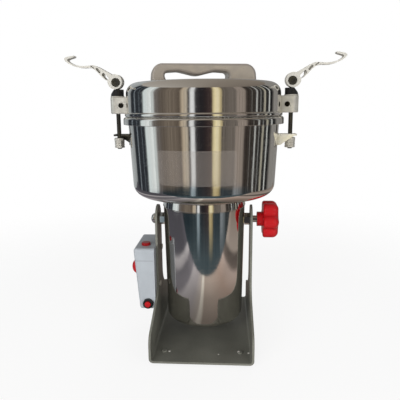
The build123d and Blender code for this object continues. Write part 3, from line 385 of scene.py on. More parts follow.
# Parts whose finish differs from the rest of their slot; the left bowl ear's near-black plate is painted shade, darker
# than the right ear
OWN_FINISH = {"bowl_ear_right": "yellow_plate", "bowl_ear_left": "dark_plate_and_painted_shade", "lid_handle": "satin_steel",
              "clamp_rod_right": "dark_plate_and_painted_shade", "clamp_rod_left": "dark_plate_and_painted_shade", "power_button": "deep_red",
              "foot_screws": "bracket_paint", "control_box": "seamed_box", "trunnion_spacers": "polished_steel",
              "pivot_bolt_left": "polished_steel", "pivot_stud_right": "polished_steel"}


class GRINDER_OT_finishes(bpy.types.Operator):
    """Gives every part of the frame the finish of its material slot"""
    bl_idname = "grinder.finishes"
    bl_label = "Finishes"

    def execute(self, context):
        FINISHES.update(make_finishes())
        for name, node in NODES.items():
            node.data.materials[0] = FINISHES[OWN_FINISH.get(name, node.data.materials[0].name)]
        return {"FINISHED"}


# Modelling

# Points of an outline or of a turned piece this near to each other are one, and those of a finished piece
MERGE = 1e-6
MERGE_CUT = 1e-5
# Edges round the largest hole that a cut may leave and that is filled again
HOLE_SIDES = 8
# Facets in the round of a flat outline's corner
CORNER_SEGMENTS = 6
# Share of its shorter side that the round of a flowing corner takes up
SIDE_SHARE = 0.45
ORIGIN = (0, 0, 0)
X_AXIS = (1, 0, 0)
Y_AXIS = (0, 1, 0)
Z_AXIS = (0, 0, 1)


def select_only(piece):
    """Makes a piece the only one selected, and the active one."""
    bpy.ops.object.select_all(action="DESELECT")
    piece.select_set(True)
    bpy.context.view_layer.objects.active = piece


def edit(piece):
    """Enters edit mode with all of a piece selected."""
    select_only(piece)
    bpy.ops.object.mode_set(mode="EDIT")
    bpy.ops.mesh.select_all(action="SELECT")


def face_out():
    """Turns every face of the piece in edit mode outward, and leaves edit mode."""
    bpy.ops.mesh.select_all(action="SELECT")
    bpy.ops.mesh.normals_make_consistent(inside=False)
    bpy.ops.object.mode_set(mode="OBJECT")


def change(piece, kind, **settings):
    """Gives a piece a modifier with these settings and applies it."""
    select_only(piece)
    modifier = piece.modifiers.new(kind.lower(), kind)
    for name, value in settings.items():
        setattr(modifier, name, value)
    bpy.ops.object.modifier_apply(modifier=modifier.name)


def pick(piece, place):
    """Selects in edit mode the vertices at a place, and nothing else."""
    bpy.ops.object.mode_set(mode="OBJECT")
    mesh = piece.data
    for group in (mesh.vertices, mesh.edges, mesh.polygons):
        group.foreach_set("select", [False] * len(group))
    for vertex in mesh.vertices:
        vertex.select = (vertex.co - place).length < MERGE
    bpy.ops.object.mode_set(mode="EDIT")
    bpy.ops.mesh.select_mode(type="VERT")


def loop(name, corners, rounds, segments):
    """A closed loop of edges through these points, made from a circle and left selected in edit mode.
    Each corner is rounded by its own radius, or stays sharp at 0."""
    bpy.ops.object.select_all(action="DESELECT")
    bpy.ops.mesh.primitive_circle_add(vertices=len(corners))
    piece = bpy.context.object
    piece.name = piece.data.name = name
    points = [Vector(corner) for corner in corners]
    for vertex, point in zip(piece.data.vertices, points):
        vertex.co = point
    bpy.ops.object.mode_set(mode="EDIT")
    for i, radius in enumerate(rounds):
        if radius > 0:
            before = (points[i - 1] - points[i]).normalized()
            after = (points[(i + 1) % len(points)] - points[i]).normalized()
            reach = radius / math.tan(before.angle(after) / 2)
            pick(piece, points[i])
            bpy.ops.mesh.bevel(offset=reach, segments=segments, affect="VERTICES")
    bpy.ops.mesh.select_all(action="SELECT")
    return piece


def lathe(name, outline, centre=ORIGIN, along=Z_AXIS, across=X_AXIS, steps=160, segments=8):
    """Turns a closed outline of (radius, distance along the axis, round) corners about an axis."""
    corners = [Vector(centre) + radius * Vector(across) + far * Vector(along) for radius, far, _ in outline]
    piece = loop(name, corners, [corner[2] for corner in outline], segments)
    bpy.ops.mesh.spin(steps=steps, angle=2 * math.pi, center=centre, axis=along)
    bpy.ops.mesh.select_all(action="SELECT")
    bpy.ops.mesh.remove_doubles(threshold=MERGE)
    face_out()
    return piece


def prism(name, outline, low, high, centre, out=X_AXIS, up=Z_AXIS):
    """Extrudes a closed outline of (out, up, round) corners between two distances along the third direction."""
    deep = Vector(up).cross(Vector(out))
    corners = [Vector(centre) + x * Vector(out) + z * Vector(up) + low * deep for x, z, _ in outline]
    piece = loop(name, corners, [corner[2] for corner in outline], CORNER_SEGMENTS)
    bpy.ops.mesh.edge_face_add()
    bpy.ops.mesh.extrude_region_move(TRANSFORM_OT_translate={"value": (high - low) * deep})
    face_out()
    return piece


def oblong(left, right, low, high, corner=0):
    """Outline of a rectangle with its corners rounded alike."""
    return [(left, low, corner), (right, low, corner), (right, high, corner), (left, high, corner)]


def flowing(points):
    """Corners in metres from (out, up) in millimetres, each with the largest round that its sides leave room for."""
    places = [Vector((x * MM, z * MM)) for x, z in points]
    outline = []
    for i, here in enumerate(places):
        before = places[i - 1] - here
        after = places[(i + 1) % len(places)] - here
        reach = SIDE_SHARE * min(before.length, after.length)
        outline.append((here.x, here.y, reach * math.tan(before.angle(after) / 2)))
    return outline


def rod_tool(name, centre, radius, depth, sides):
    """A round or six-sided bar along Y, to join to a piece or to cut with."""
    bpy.ops.object.select_all(action="DESELECT")
    bpy.ops.mesh.primitive_cylinder_add(vertices=sides, radius=radius, depth=depth, location=centre,
                                        rotation=(math.pi / 2, 0, 0))
    tool = bpy.context.object
    tool.name = name
    bpy.ops.object.transform_apply(location=True, rotation=True)
    return tool


def combine(piece, tool, operation="DIFFERENCE"):
    """Cuts a tool out of a piece, joins it on or keeps what both share, and takes the tool away."""
    change(piece, "BOOLEAN", operation=operation, solver="EXACT", object=tool)
    bpy.data.objects.remove(tool, do_unlink=True)


def mirrored(piece, name):
    """A copy of a piece on the other side of the grinder, with its own mesh."""
    select_only(piece)
    bpy.ops.object.duplicate()
    copy = bpy.context.object
    copy.name = copy.data.name = name
    edit(copy)
    bpy.ops.transform.resize(value=(-1, 1, 1), center_override=ORIGIN)
    face_out()
    return copy


def joined(piece, other):
    """One piece of two."""
    select_only(piece)
    other.select_set(True)
    bpy.ops.object.join()
    return piece


def close_up(piece, slot, body, *replaced, sharp=35, look=None):
    """Ends the modelling of a piece: clean normals, smooth shading, finish, body and the parts that it stands for."""
    edit(piece)
    bpy.ops.mesh.remove_doubles(threshold=MERGE_CUT)
    bpy.ops.mesh.fill_holes(sides=HOLE_SIDES)
    face_out()
    bpy.ops.object.shade_smooth_by_angle(angle=math.radians(sharp))
    change(piece, "WEIGHTED_NORMAL", keep_sharp=True)
    piece.data.materials.clear()
    piece.data.materials.append(FINISHES[look or slot])
    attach(piece, body)
    if replaced:
        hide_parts(*replaced)


def close_pair(piece, slot, body, replaced, **rest):
    """Ends a right-hand piece and its mirror image; the names of pieces, bodies and parts end with their side."""
    other = mirrored(piece, piece.name.replace("_right", "_left"))
    for side, one in (("right", piece), ("left", other)):
        close_up(one, slot, f"{body}_{side}", f"{replaced}_{side}", **rest)


class GRINDER_OT_motor_shell(bpy.types.Operator):
    """Turns the polished motor shell and the grooved collar above it"""
    bl_idname = "grinder.motor_shell"
    bl_label = "Motor shell"

    def execute(self, context):
        s = sizes()
        low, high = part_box("motor_shell")
        lip = s.shell_r_low - s.shell_corner - s.shell_lip
        shell = lathe("shell_polished", [
            (lip, low.z, 0), (s.shell_r_low, low.z, s.shell_corner), (s.shell_r_top, high.z, 0),
            (s.shell_r_top - s.shell_wall, high.z, 0),
            (s.shell_r_low - s.shell_wall, low.z + s.shell_wall, s.shell_corner - s.shell_wall),
            (lip, low.z + s.shell_wall, 0)])
        close_up(shell, "polished_steel", "grinder", "motor_shell")
        low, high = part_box("top_collar")
        foot = s.shell_r_top + s.collar_over
        inner = foot - s.collar_wall
        depth = foot - s.collar_groove
        neck = foot - s.collar_neck
        band = low.z + s.collar_groove
        band_top = band + s.collar_band
        collar = lathe("collar_polished", [
            (inner, low.z, 0), (depth, low.z, 0), (depth, band, 0), (foot, band, s.edge_round),
            (foot - s.collar_taper, band_top, s.edge_round), (neck, band_top, s.edge_round), (neck, high.z, 0),
            (inner, high.z, 0)])
        close_up(collar, "polished_steel", "grinder", "top_collar")
        return {"FINISHED"}


class GRINDER_OT_bowl(bpy.types.Operator):
    """Turns the polished grinding bowl with its flange"""
    bl_idname = "grinder.bowl"
    bl_label = "Bowl"

    def execute(self, context):
        s = sizes()
        low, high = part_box("grinding_bowl")
        flange = high.x
        floor = low.z + s.bowl_wall
        under = high.z - s.bowl_wall
        lip = high.z - s.flange_drop
        share = (under - low.z) / (high.z - low.z)
        neck = s.bowl_r_low + (s.bowl_r_top - s.bowl_r_low) * share
        inner_low = s.bowl_r_low - s.bowl_wall
        bowl = lathe("bowl_polished", [
            (s.bowl_hole, low.z, 0), (s.bowl_r_low, low.z, s.bowl_corner), (neck, under, s.edge_round),
            (flange - s.bowl_wall, under, s.edge_round), (flange - s.bowl_wall, lip, s.edge_round),
            (flange, lip, s.edge_round), (flange, high.z, s.flange_round),
            (s.bowl_r_top - s.bowl_wall, high.z, s.edge_round),
            (inner_low, floor, s.bowl_corner - s.bowl_wall), (s.bowl_hole, floor, 0)], steps=192)
        close_up(bowl, "polished_steel", "grinder", "grinding_bowl")
        return {"FINISHED"}


# Rounds of the bead on the lid's edge, as a share of its height
BEAD_ROUND = 0.4


class GRINDER_OT_lid(bpy.types.Operator):
    """Turns the polished lid with the bead round its edge"""
    bl_idname = "grinder.lid"
    bl_label = "Lid"

    def execute(self, context):
        s = sizes()
        low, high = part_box("lid_shell")
        top = high.z - s.lid_crown
        under = top - s.lid_wall
        inner = s.lid_r - s.lid_wall
        bead = low.z + s.lid_bead
        bead_round = s.lid_bead * BEAD_ROUND
        lid = lathe("lid_polished", [
            (inner, low.z, 0), (high.x, low.z, bead_round), (high.x, bead, bead_round),
            (s.lid_r, bead, s.edge_round), (s.lid_r, top, s.lid_shoulder), (0, high.z, 0),
            (0, under + s.lid_crown, 0), (inner, under, s.lid_shoulder - s.lid_wall)], steps=192)
        close_up(lid, "polished_steel", "lid", "lid_shell")
        return {"FINISHED"}


# Strips that the film is bent in
FILM_COLUMNS = 60


class GRINDER_OT_film(bpy.types.Operator):
    """Lays a thin clear film with round corners on the front of the bowl"""
    bl_idname = "grinder.film"
    bl_label = "Clear film"

    def execute(self, context):
        s = sizes()
        low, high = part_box("grinding_bowl")
        slope = (s.bowl_r_top - s.bowl_r_low) / (high.z - low.z)
        middle = s.bowl_r_low + slope * (s.film_low - low.z)
        left, right = middle * s.film_left, middle * s.film_right
        corners = [(x, 0, z) for x, z, _ in oblong(left, right, s.film_low, s.film_high)]
        film = loop("film_clear", corners, [s.film_round] * len(corners), CORNER_SEGMENTS)
        bpy.ops.mesh.edge_face_add()
        for i in range(1, FILM_COLUMNS):
            bpy.ops.mesh.select_all(action="SELECT")
            place = left + (right - left) * i / FILM_COLUMNS
            bpy.ops.mesh.bisect(plane_co=(place, 0, 0), plane_no=X_AXIS)
        bpy.ops.object.mode_set(mode="OBJECT")
        for vertex in film.data.vertices:
            turn = vertex.co.x / middle
            radius = s.bowl_r_low + slope * (vertex.co.z - low.z) + s.film_off
            vertex.co = (radius * math.sin(turn), -radius * math.cos(turn), vertex.co.z)
        change(film, "SOLIDIFY", thickness=s.film_thick, offset=0)
        close_up(film, "white_silicone", "grinder", look="clear_film")
        return {"FINISHED"}


# Side view of a clamp lever, as (out, up) in millimetres from its pin: over the arm, round the finger pad and back
LEVER_SIDE = [(2, 9), (15.9, 16.6), (24.4, 21.6), (30.5, 23.9), (37, 23.4), (48.3, 22.7), (59.6, 25.3), (65.6, 28.8),
              (67.6, 31), (65.6, 32.3), (57.3, 34.6), (56.9, 36.9), (68.2, 34.9), (72, 32.4), (68.4, 28), (59.6, 22.9),
              (48.3, 20), (37, 20.6), (30.9, 18.8), (24.8, 14.2), (18, 6.1), (10, 1)]
# Half of its top view, as (out, half width, round)
LEVER_PLAN = [(-14, 7.6, 0), (20, 7.6, 0), (36, 4.2, 0), (53, 4, 0), (60, 6, 0), (74, 6, 5)]
# Room between its cheeks, as left, right, low and high
LEVER_FORK = (-15, 16, -15, 40)
# Windows in both sides of its arm, as (out, up, length, width, degrees), and their round as a share of the half width
LEVER_WINDOWS = [(14.3, 8.1, 11.5, 4.6, 48), (23.8, 16.4, 8.6, 3, 46), (32.2, 21.1, 6.4, 1.7, 34)]
WINDOW_ROUND = 0.98
# How far the tool of the top view reaches up and down
LEVER_REACH = 60 * MM
# Edges sharper than this many degrees are rounded by this width
LEVER_SHARP = 40
LEVER_SOFT = 0.5 * MM
# Facets round its eye and its bore
EYE_SIDES = 96
BORE_SIDES = 44


class GRINDER_OT_levers(bpy.types.Operator):
    """Models the two cam levers: forked eye, windowed arm and curled finger pad"""
    bl_idname = "grinder.levers"
    bl_label = "Clamp levers"

    def execute(self, context):
        s = sizes()
        pin_low, pin_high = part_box("cam_pin_right")
        pin = (pin_low + pin_high) / 2
        lever = prism("lever_cast_right", flowing(LEVER_SIDE), -s.cheek_out, s.cheek_out, pin)
        eye = pin + Vector((s.eye_out, 0, s.eye_up))
        combine(lever, rod_tool("eye", eye, s.eye_r, 2 * s.cheek_out, EYE_SIDES), "UNION")
        plan = LEVER_PLAN + [(out, -half, corner) for out, half, corner in reversed(LEVER_PLAN)]
        plan = [(out * MM, half * MM, corner * MM) for out, half, corner in plan]
        combine(lever, prism("plan", plan, -LEVER_REACH, LEVER_REACH, pin, up=Y_AXIS), "INTERSECT")
        fork = oblong(*(limit * MM for limit in LEVER_FORK))
        combine(lever, prism("fork", fork, -s.cheek_in, s.cheek_in, pin))
        combine(lever, rod_tool("bore", pin, s.pin_bore, 4 * s.cheek_out, BORE_SIDES))
        for out, up, long, wide, degrees in LEVER_WINDOWS:
            turn = math.radians(degrees)
            half, side = long / 2 * MM, wide / 2 * MM
            window = oblong(-half, half, -side, side, WINDOW_ROUND * side)
            for low, high in ((-2 * s.cheek_out, -s.web_half), (s.web_half, 2 * s.cheek_out)):
                combine(lever, prism("window", window, low, high, pin + Vector((out * MM, 0, up * MM)),
                                     out=(math.cos(turn), 0, math.sin(turn)),
                                     up=(-math.sin(turn), 0, math.cos(turn))))
        change(lever, "BEVEL", width=LEVER_SOFT, segments=2, limit_method="ANGLE",
               angle_limit=math.radians(LEVER_SHARP))
        close_pair(lever, "zinc_steel", "lever", "cam_lever", sharp=LEVER_SHARP, look="bright_plate")
        return {"FINISHED"}


# Facets round screws and pins, and sides of their sockets and of nuts
SCREW_STEPS = 48
HEX_SIDES = 6
# Rounds of the heads of pins and screws, as shares of their thickness
PIN_DOME = 0.7
SCREW_DOME = 0.6
# Their sockets, as shares of a head: radius, and length of the tool in head thicknesses
PIN_SOCKET = (0.5, 1.6)
SCREW_SOCKET = (0.52, 1.5)
# Heights of the grooves round a nut, as shares of its flats
NUT_GROOVES = (0.34, 0.68)


class GRINDER_OT_clamp_screws(bpy.types.Operator):
    """Models the cam pins and block screws with socket heads, and the grooved nuts under the rods"""
    bl_idname = "grinder.clamp_screws"
    bl_label = "Clamp screws"

    def pins(self, s):
        """Cam pins: a domed head with a six-sided socket at each end."""
        low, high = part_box("cam_pin_right")
        centre = (low + high) / 2
        head = (high.x - low.x) / 2
        end = (high.y - low.y) / 2
        seat = end - s.pin_head
        dome = s.pin_head * PIN_DOME
        pin = lathe("pin_socketed_right", [
            (0, -end, 0), (head, -end, dome), (head, -seat, 0), (s.pin_r, -seat, 0), (s.pin_r, seat, 0),
            (head, seat, 0), (head, end, dome), (0, end, 0)], centre, Y_AXIS, steps=SCREW_STEPS)
        for side in (-end, end):
            combine(pin, rod_tool("socket", centre + Vector((0, side, 0)), PIN_SOCKET[0] * head,
                                  PIN_SOCKET[1] * s.pin_head, HEX_SIDES))
        close_pair(pin, "dark_steel", "rod", "cam_pin", look="dark_plate_and_painted_shade")

    def screws(self, s):
        """Block screws: a domed head with a six-sided socket."""
        low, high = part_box("block_screws")
        head = (high.z - low.z) / 2
        deep = high.y - low.y
        centre = Vector((high.x - head, low.y, (low.z + high.z) / 2))
        screw = lathe("block_screws_socketed", [
            (0, 0, 0), (head, 0, s.screw_head * SCREW_DOME), (head, s.screw_head, 0),
            (s.screw_r, s.screw_head, 0), (s.screw_r, deep, 0), (0, deep, 0)],
            centre, Y_AXIS, steps=SCREW_STEPS)
        combine(screw, rod_tool("socket", centre, SCREW_SOCKET[0] * head, SCREW_SOCKET[1] * s.screw_head, HEX_SIDES))
        close_up(joined(screw, mirrored(screw, "other screw")), "dark_steel", "lid", "block_screws")

    def nuts(self, s):
        """Rod nuts: six grooved flats under a round collar."""
        low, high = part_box("rod_nut_right")
        centre = (low + high) / 2
        axis = (centre.x, centre.y, 0)
        radius = (high.x - low.x) / 2
        collar = high.z - s.nut_collar
        outline = [(s.nut_bore, low.z, 0), (radius, low.z, s.nut_groove)]
        for share in NUT_GROOVES:
            groove = low.z + share * (collar - low.z)
            outline += [(radius, groove - s.nut_groove, 0), (radius - s.nut_groove, groove, 0),
                        (radius, groove + s.nut_groove, 0)]
        outline += [(radius, collar, 0), (s.nut_bore, collar, 0)]
        nut = lathe("nut_grooved_right", outline, axis, steps=HEX_SIDES, segments=2)
        ring = lathe("collar", [
            (s.nut_bore, collar, 0), (radius, collar, s.edge_round), (radius, high.z, 2 * s.edge_round),
            (s.nut_bore, high.z, 0)], axis, steps=64, segments=3)
        close_pair(joined(nut, ring), "zinc_steel", "rod", "rod_nut")

    def execute(self, context):
        s = sizes()
        self.pins(s)
        self.screws(s)
        self.nuts(s)
        return {"FINISHED"}


class GRINDER_OT_timer_knob(bpy.types.Operator):
    """Turns the domed knob of the timer and cuts the groove that points"""
    bl_idname = "grinder.timer_knob"
    bl_label = "Timer knob"

    def execute(self, context):
        s = sizes()
        joint = next(j for j in frame["record"]["behaviour"]["joints"] if j["name"] == "timer_turn")
        centre = Vector(joint["pos_m"])
        along = Vector(joint["axis"]).normalized()
        side = Vector(Y_AXIS)
        up = side.cross(along)
        knob = lathe("timer_knob_domed", [
            (0, s.knob_gap, 0), (s.knob_r, s.knob_gap, s.edge_round), (s.knob_r, s.knob_h, s.knob_dome),
            (0, s.knob_h, 0)], centre, along, up, steps=96, segments=12)
        deep = side.cross(up).dot(along)
        cut = 2 * s.knob_slot
        combine(knob, prism("groove", oblong(0, s.knob_r, -s.knob_slot, s.knob_slot), deep * (s.knob_h - cut),
                            deep * (s.knob_h + cut), centre, out=up, up=side))
        close_up(knob, "red_plastic", "timer_knob", "timer_knob")
        return {"FINISHED"}


# Stage

# What the polished steel mirrors: a plain room in upright bands, as (degrees to the right of the camera, colour)
ROOM_BANDS = [
    (-180, "#8f8d8a"), (-150, "#b3b8ba"), (-127, "#a0a6a9"), (-122, "#2f3339"), (-92, "#31353b"),
    (-89, "#d9e6e9"), (-78, "#eef6f8"), (-70.5, "#d2dbdd"), (-68, "#7c7876"), (-58, "#625a53"),
    (-44, "#7b7166"), (-29, "#665c53"), (-26.5, "#b8aa95"), (-20, "#cbc1b0"), (-18, "#3b393b"),
    (-15.8, "#474546"), (-15, "#f7fafd"), (-10, "#eef2f6"), (-8.3, "#3a383b"), (2, "#262427"),
    (14.5, "#4a3c3b"), (16.3, "#eddfae"), (22, "#f4eac8"), (26, "#d8c794"), (27.5, "#69635d"),
    (48, "#766f69"), (50, "#9d928a"), (61, "#938981"), (63.5, "#3d3733"), (100, "#2c2c2d"),
    (116, "#232324"), (122, "#8f8d8a"),
]
# The same room below the level of the table: dim cupboards between the tall windows
ROOM_LOW_BANDS = [
    (-180, "#3a4146"), (-122, "#2f3339"), (-92, "#31353b"), (-89, "#c9d6da"), (-72, "#b4c0c5"),
    (-69, "#5b646a"), (-60, "#2c363c"), (-40, "#263138"), (-18, "#3a454b"), (-15.5, "#9fb0ba"),
    (-10.5, "#8797a1"), (-8.5, "#2a343a"), (10, "#3b3637"), (15.5, "#4d4642"), (17, "#c9b98d"),
    (25, "#a8986f"), (27, "#39434a"), (45, "#2f393f"), (50, "#8b939a"), (60, "#5d656a"),
    (64, "#3a3f42"), (180, "#3a4146"),
]
# Thin bright edges in the dark parts of the room, each up to the next place
ROOM_GLINTS = [
    (-180, "#000000"), (-113, "#848e97"), (-110.5, "#000000"), (-101, "#5f6870"), (-99.5, "#000000"),
    (71, "#6f6d69"), (73, "#000000"), (79, "#c3c6c5"), (82, "#000000"), (88, "#8d8f8e"), (89.5, "#000000"),
    (95.5, "#b3b0a2"), (98.5, "#000000"), (106, "#cdd1d0"), (109.5, "#000000"),
]
# Heights between which the cupboards fade into the room's foot, and at which the upper room begins, and that foot
ROOM_FADE = (-0.45, -0.25)
ROOM_RISE = (-0.155, -0.14)
ROOM_FOOT = "#47545a"
# Cards that the steel mirrors, as (share of the way from left to right, colour)
TABLE_BANDS = [
    (0, "#4c4b52"), (0.27, "#56555c"), (0.29, "#b4b1b4"), (0.315, "#a39fa3"), (0.33, "#6b696f"), (0.375, "#77747a"),
    (0.39, "#a5a1a4"), (0.43, "#989395"), (0.462, "#a59d97"), (0.468, "#cfc9c0"), (0.478, "#c9c2b8"),
    (0.484, "#9c9087"), (0.52, "#a0938a"), (0.6, "#a18e83"), (0.66, "#b0a098"), (0.68, "#6a615c"), (0.72, "#5a534f"),
    (0.74, "#a2978f"), (1, "#7d7169"),
]
CEILING_BANDS = [(0, "#b9b5b0"), (0.4, "#a09a92"), (0.6, "#8c847b"), (1, "#7a7169")]
# Brightness along the table's front edge, how deep that edge is, and the shade round the grinder with its reach
EDGE_LEVEL = 1.4
EDGE_DEPTH = 0.1
SHADE_LEVEL = 0.42
SHADE_REACH = (0.13, 0.27)
# The floor's size and colour, where it fades into the white studio, and how much it glows for the camera
FLOOR_SIZE = 8
FLOOR_COLOUR = "#fbfbfa"
FLOOR_FADE = (0.3, 1)
FLOOR_GLOW = 0.85
WHITE = linear("#ffffff")
# Strength of the studio's soft light, and lamps in it, as (name, place, watts)
SOFT_LIGHT = 0.32
LAMPS = [("key lamp", (-0.8, -1.7, 0.5), 34), ("fill lamp", (1.2, -1.3, 0.45), 14),
         ("back lamp", (0.4, 1.4, 1.6), 6)]
LAMP_SIZE = 1.2
LAMP_AIM = Vector((0, 0, 0.2))
# Rays that don't meet what is there only to be mirrored
ONLY_MIRRORED = ("camera", "diffuse", "transmission", "shadow", "volume_scatter")
ROOM_SIDES = 96


def bands(add, share, stops, low=0, high=1, interpolation="LINEAR"):
    """A colour ramp through stops of (place, colour) between two ends; gives its node."""
    ramp = add("ShaderNodeValToRGB", {"Fac": share})
    ramp.color_ramp.interpolation = interpolation
    elements = ramp.color_ramp.elements
    while len(elements) < len(stops):
        elements.new(0.5)
    for element, (place, hex_text) in zip(elements, stops):
        element.position = (place - low) / (high - low)
        element.color = linear(hex_text)
    return ramp


def room_material(name, middle):
    """A plain room seen only in reflections: upright bands, as of windows, walls and doors, with dim ones below."""
    material, add, spot = blank(name)
    place = add("ShaderNodeSeparateXYZ", {"Vector": spot}).outputs
    back = add("ShaderNodeMath", {0: place["Y"], 1: -1}, operation="MULTIPLY")
    turn = add("ShaderNodeMath", {0: place["X"], 1: back}, operation="ARCTAN2")
    share = add("ShaderNodeMapRange", {"Value": turn, "From Min": -math.pi, "From Max": math.pi})
    walls = bands(add, share, ROOM_BANDS, -180, 180)
    glints = bands(add, share, ROOM_GLINTS, -180, 180, "CONSTANT")
    upper = add("ShaderNodeMix", {"Factor": 1, "A": walls, "B": glints}, data_type="RGBA", blend_type="LIGHTEN")
    lower = bands(add, share, ROOM_LOW_BANDS, -180, 180)
    dim = add("ShaderNodeMapRange", {"Value": place["Z"], "From Min": ROOM_FADE[0] - middle,
                                     "From Max": ROOM_FADE[1] - middle})
    lower = add("ShaderNodeMix", {"Factor": dim, "A": linear(ROOM_FOOT), "B": lower}, data_type="RGBA")
    rise = add("ShaderNodeMapRange", {"Value": place["Z"], "From Min": ROOM_RISE[0] - middle,
                                      "From Max": ROOM_RISE[1] - middle})
    mixed = add("ShaderNodeMix", {"Factor": rise, "A": lower, "B": upper}, data_type="RGBA")
    # Frames, shelves and curtains between the broad bands are drawn as streaks about 2 degrees apart.
    streaks = add("ShaderNodeTexNoise", {"W": turn, "Scale": 1 / math.radians(2), "Detail": 3}, noise_dimensions="1D")
    level = add("ShaderNodeMapRange", {"Value": streaks, **MOST, "To Min": 0.68, "To Max": 1.3})
    toned = add("ShaderNodeHueSaturation", {"Color": mixed, "Value": level})
    return finish(material, add("ShaderNodeEmission", {"Color": toned, "Strength": 1}))


def ceiling_material(name, half):
    """A warm grey ceiling seen only in reflections."""
    material, add, spot = blank(name)
    place = add("ShaderNodeSeparateXYZ", {"Vector": spot}).outputs
    share = add("ShaderNodeMapRange", {"Value": place["X"], "From Min": -half, "From Max": half})
    tone = bands(add, share, CEILING_BANDS)
    return finish(material, add("ShaderNodeEmission", {"Color": tone, "Strength": 1}))


def table_material(name, half, front):
    """A table seen only in reflections: bright along its front edge and shaded under the grinder."""
    material, add, spot = blank(name)
    place = add("ShaderNodeSeparateXYZ", {"Vector": spot}).outputs
    share = add("ShaderNodeMapRange", {"Value": place["X"], "From Min": -half, "From Max": half})
    tone = bands(add, share, TABLE_BANDS)
    edge = add("ShaderNodeMapRange", {"Value": place["Y"], "From Min": -front, "From Max": EDGE_DEPTH - front,
                                      "To Min": EDGE_LEVEL, "To Max": 1})
    away = add("ShaderNodeVectorMath", {0: spot}, operation="LENGTH")
    shade = add("ShaderNodeMapRange", {"Value": away, "From Min": SHADE_REACH[0], "From Max": SHADE_REACH[1],
                                       "To Min": SHADE_LEVEL, "To Max": 1})
    level = add("ShaderNodeMath", {0: edge, 1: shade}, operation="MULTIPLY")
    toned = add("ShaderNodeHueSaturation", {"Color": tone, "Value": level})
    return finish(material, add("ShaderNodeEmission", {"Color": toned, "Strength": 1}))


def floor_material(name):
    """Pale floor that keeps the soft shadow near the grinder and fades into the white studio further off."""
    material, add, place = blank(name)
    far = add("ShaderNodeVectorMath", {0: place}, operation="LENGTH")
    fade = add("ShaderNodeMapRange", {"Value": far, "From Min": FLOOR_FADE[0], "From Max": FLOOR_FADE[1]},
               interpolation_type="SMOOTHSTEP")
    seen = add("ShaderNodeLightPath").outputs["Is Camera Ray"]
    share = add("ShaderNodeMath", {0: seen, 1: FLOOR_GLOW}, operation="MULTIPLY")
    matt = add("ShaderNodeBsdfDiffuse", {"Color": linear(FLOOR_COLOUR)})
    glow = add("ShaderNodeEmission", {"Color": WHITE, "Strength": 1})
    near = add("ShaderNodeMixShader", {0: share, 1: matt, 2: glow})
    clear = add("ShaderNodeBsdfTransparent")
    return finish(material, add("ShaderNodeMixShader", {0: fade, 1: near, 2: clear}))


def set_up(name, material, hidden_from):
    """Names the piece of the stage just added, gives it its material and hides it from some rays."""
    piece = bpy.context.object
    piece.name = name
    piece.data.materials.append(material)
    for ray in hidden_from:
        setattr(piece, "visible_" + ray, False)


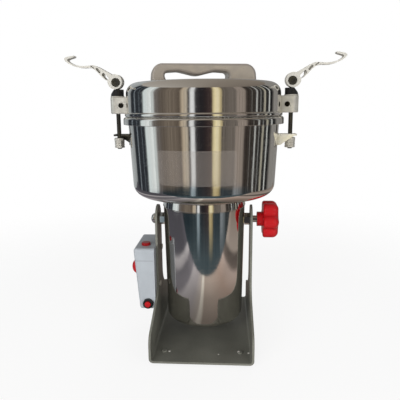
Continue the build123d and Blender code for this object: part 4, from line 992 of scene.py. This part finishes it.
class GRINDER_OT_stage(bpy.types.Operator):
    """Sets up the floor, the room that the steel mirrors, the lamps and the camera"""
    bl_idname = "grinder.stage"
    bl_label = "Stage"

    def room(self):
        """The floor, and the table, room and ceiling that show only in reflections."""
        t = studio()
        middle = (t.room_height - t.room_drop) / 2
        bpy.ops.mesh.primitive_plane_add(size=FLOOR_SIZE)
        set_up("floor", floor_material("pale_floor"), ("glossy",))
        bpy.ops.mesh.primitive_plane_add(size=1, rotation=(0, 0, t.table_turn))
        for vertex in bpy.context.object.data.vertices:
            vertex.co = (t.table_side if vertex.co.x > 0 else -t.table_side,
                         t.table_side if vertex.co.y > 0 else -t.table_front, 0)
        set_up("table_mirrored", table_material("table_mirrored", t.table_side, t.table_front), ONLY_MIRRORED)
        bpy.ops.mesh.primitive_cylinder_add(vertices=ROOM_SIDES, radius=t.room_radius,
                                            depth=t.room_height + t.room_drop, end_fill_type="NOTHING",
                                            location=(0, 0, middle))
        set_up("room_mirrored", room_material("room_mirrored", middle), ONLY_MIRRORED)
        bpy.ops.mesh.primitive_circle_add(vertices=ROOM_SIDES, radius=t.room_radius, fill_type="NGON",
                                          location=(0, 0, t.room_height))
        set_up("ceiling_mirrored", ceiling_material("ceiling_mirrored", t.room_radius), ONLY_MIRRORED)

    def light(self):
        """White surroundings that light softly, and the lamps."""
        world = bpy.data.worlds.new("pale studio")
        bpy.context.scene.world = world
        world.use_nodes = True
        world.node_tree.nodes.clear()
        add = partial(add_node, world.node_tree)
        path = add("ShaderNodeLightPath").outputs
        seen = add("ShaderNodeMath", {0: path["Is Camera Ray"], 1: path["Is Glossy Ray"]}, operation="MAXIMUM")
        seen = add("ShaderNodeMath", {0: seen, 1: path["Is Transmission Ray"]}, operation="MAXIMUM")
        soft = add("ShaderNodeBackground", {"Color": WHITE, "Strength": SOFT_LIGHT})
        white = add("ShaderNodeBackground", {"Color": WHITE, "Strength": 1})
        mixed = add("ShaderNodeMixShader", {0: seen, 1: soft, 2: white})
        add("ShaderNodeOutputWorld", {"Surface": mixed})
        for name, place, watts in LAMPS:
            bpy.ops.object.light_add(type="AREA", location=place)
            light = bpy.context.object
            light.name = name
            light.data.size = LAMP_SIZE
            light.data.energy = watts
            light.visible_glossy = False
            light.rotation_euler = (LAMP_AIM - Vector(place)).to_track_quat("-Z", "Y").to_euler()

    def camera(self):
        """The camera in front, about level with the lid and looking slightly down."""
        t = studio()
        place = (t.camera_distance * math.sin(t.camera_side), -t.camera_distance * math.cos(t.camera_side),
                 t.camera_height)
        turn = (math.pi / 2 - t.camera_pitch, t.camera_roll, t.camera_side + t.camera_aim)
        bpy.ops.object.camera_add(location=place, rotation=turn)
        camera = bpy.context.object
        camera.name = "camera"
        camera.data.sensor_width = 36
        camera.data.lens = t.camera_lens
        camera.data.clip_start = 0.01
        bpy.context.scene.camera = camera

    def execute(self, context):
        context.scene.view_settings.view_transform = "Standard"
        self.room()
        self.light()
        self.camera()
        return {"FINISHED"}


PIECES = (GRINDER_OT_finishes, GRINDER_OT_motor_shell, GRINDER_OT_bowl, GRINDER_OT_lid, GRINDER_OT_film,
          GRINDER_OT_levers, GRINDER_OT_clamp_screws, GRINDER_OT_timer_knob, GRINDER_OT_stage)
GROUPS = {"grinder_sizes": GrinderSizes, "grinder_colours": GrinderColours, "grinder_studio": GrinderStudio}


class GRINDER_PT_sidebar(bpy.types.Panel):
    """Lists the steps that dress the grinder, and their settings"""
    bl_idname = "GRINDER_PT_sidebar"
    bl_label = "Spice Grinder"
    bl_space_type = "VIEW_3D"
    bl_region_type = "UI"
    bl_category = "Grinder"

    def draw(self, context):
        for piece in PIECES:
            self.layout.operator(piece.bl_idname)
        for name in GROUPS:
            group = getattr(context.scene, name)
            box = self.layout.box()
            for setting in group.bl_rna.properties.keys():
                if setting not in ("rna_type", "name"):
                    box.prop(group, setting)


CLASSES = (*GROUPS.values(), *PIECES, GRINDER_PT_sidebar)


def register():
    """Adds the classes, and the settings to every scene."""
    for kind in CLASSES:
        bpy.utils.register_class(kind)
    for name, kind in GROUPS.items():
        setattr(bpy.types.Scene, name, bpy.props.PointerProperty(type=kind))


def unregister():
    """Takes the settings and the classes away."""
    for name in GROUPS:
        delattr(bpy.types.Scene, name)
    for kind in reversed(CLASSES):
        bpy.utils.unregister_class(kind)


def main():
    """Dresses the grinder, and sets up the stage."""
    register()
    bpy.ops.grinder.finishes()
    bpy.ops.grinder.motor_shell()
    bpy.ops.grinder.bowl()
    bpy.ops.grinder.lid()
    bpy.ops.grinder.film()
    bpy.ops.grinder.levers()
    bpy.ops.grinder.clamp_screws()
    bpy.ops.grinder.timer_knob()
    bpy.ops.grinder.stage()


if __name__ == "__main__":
    main()
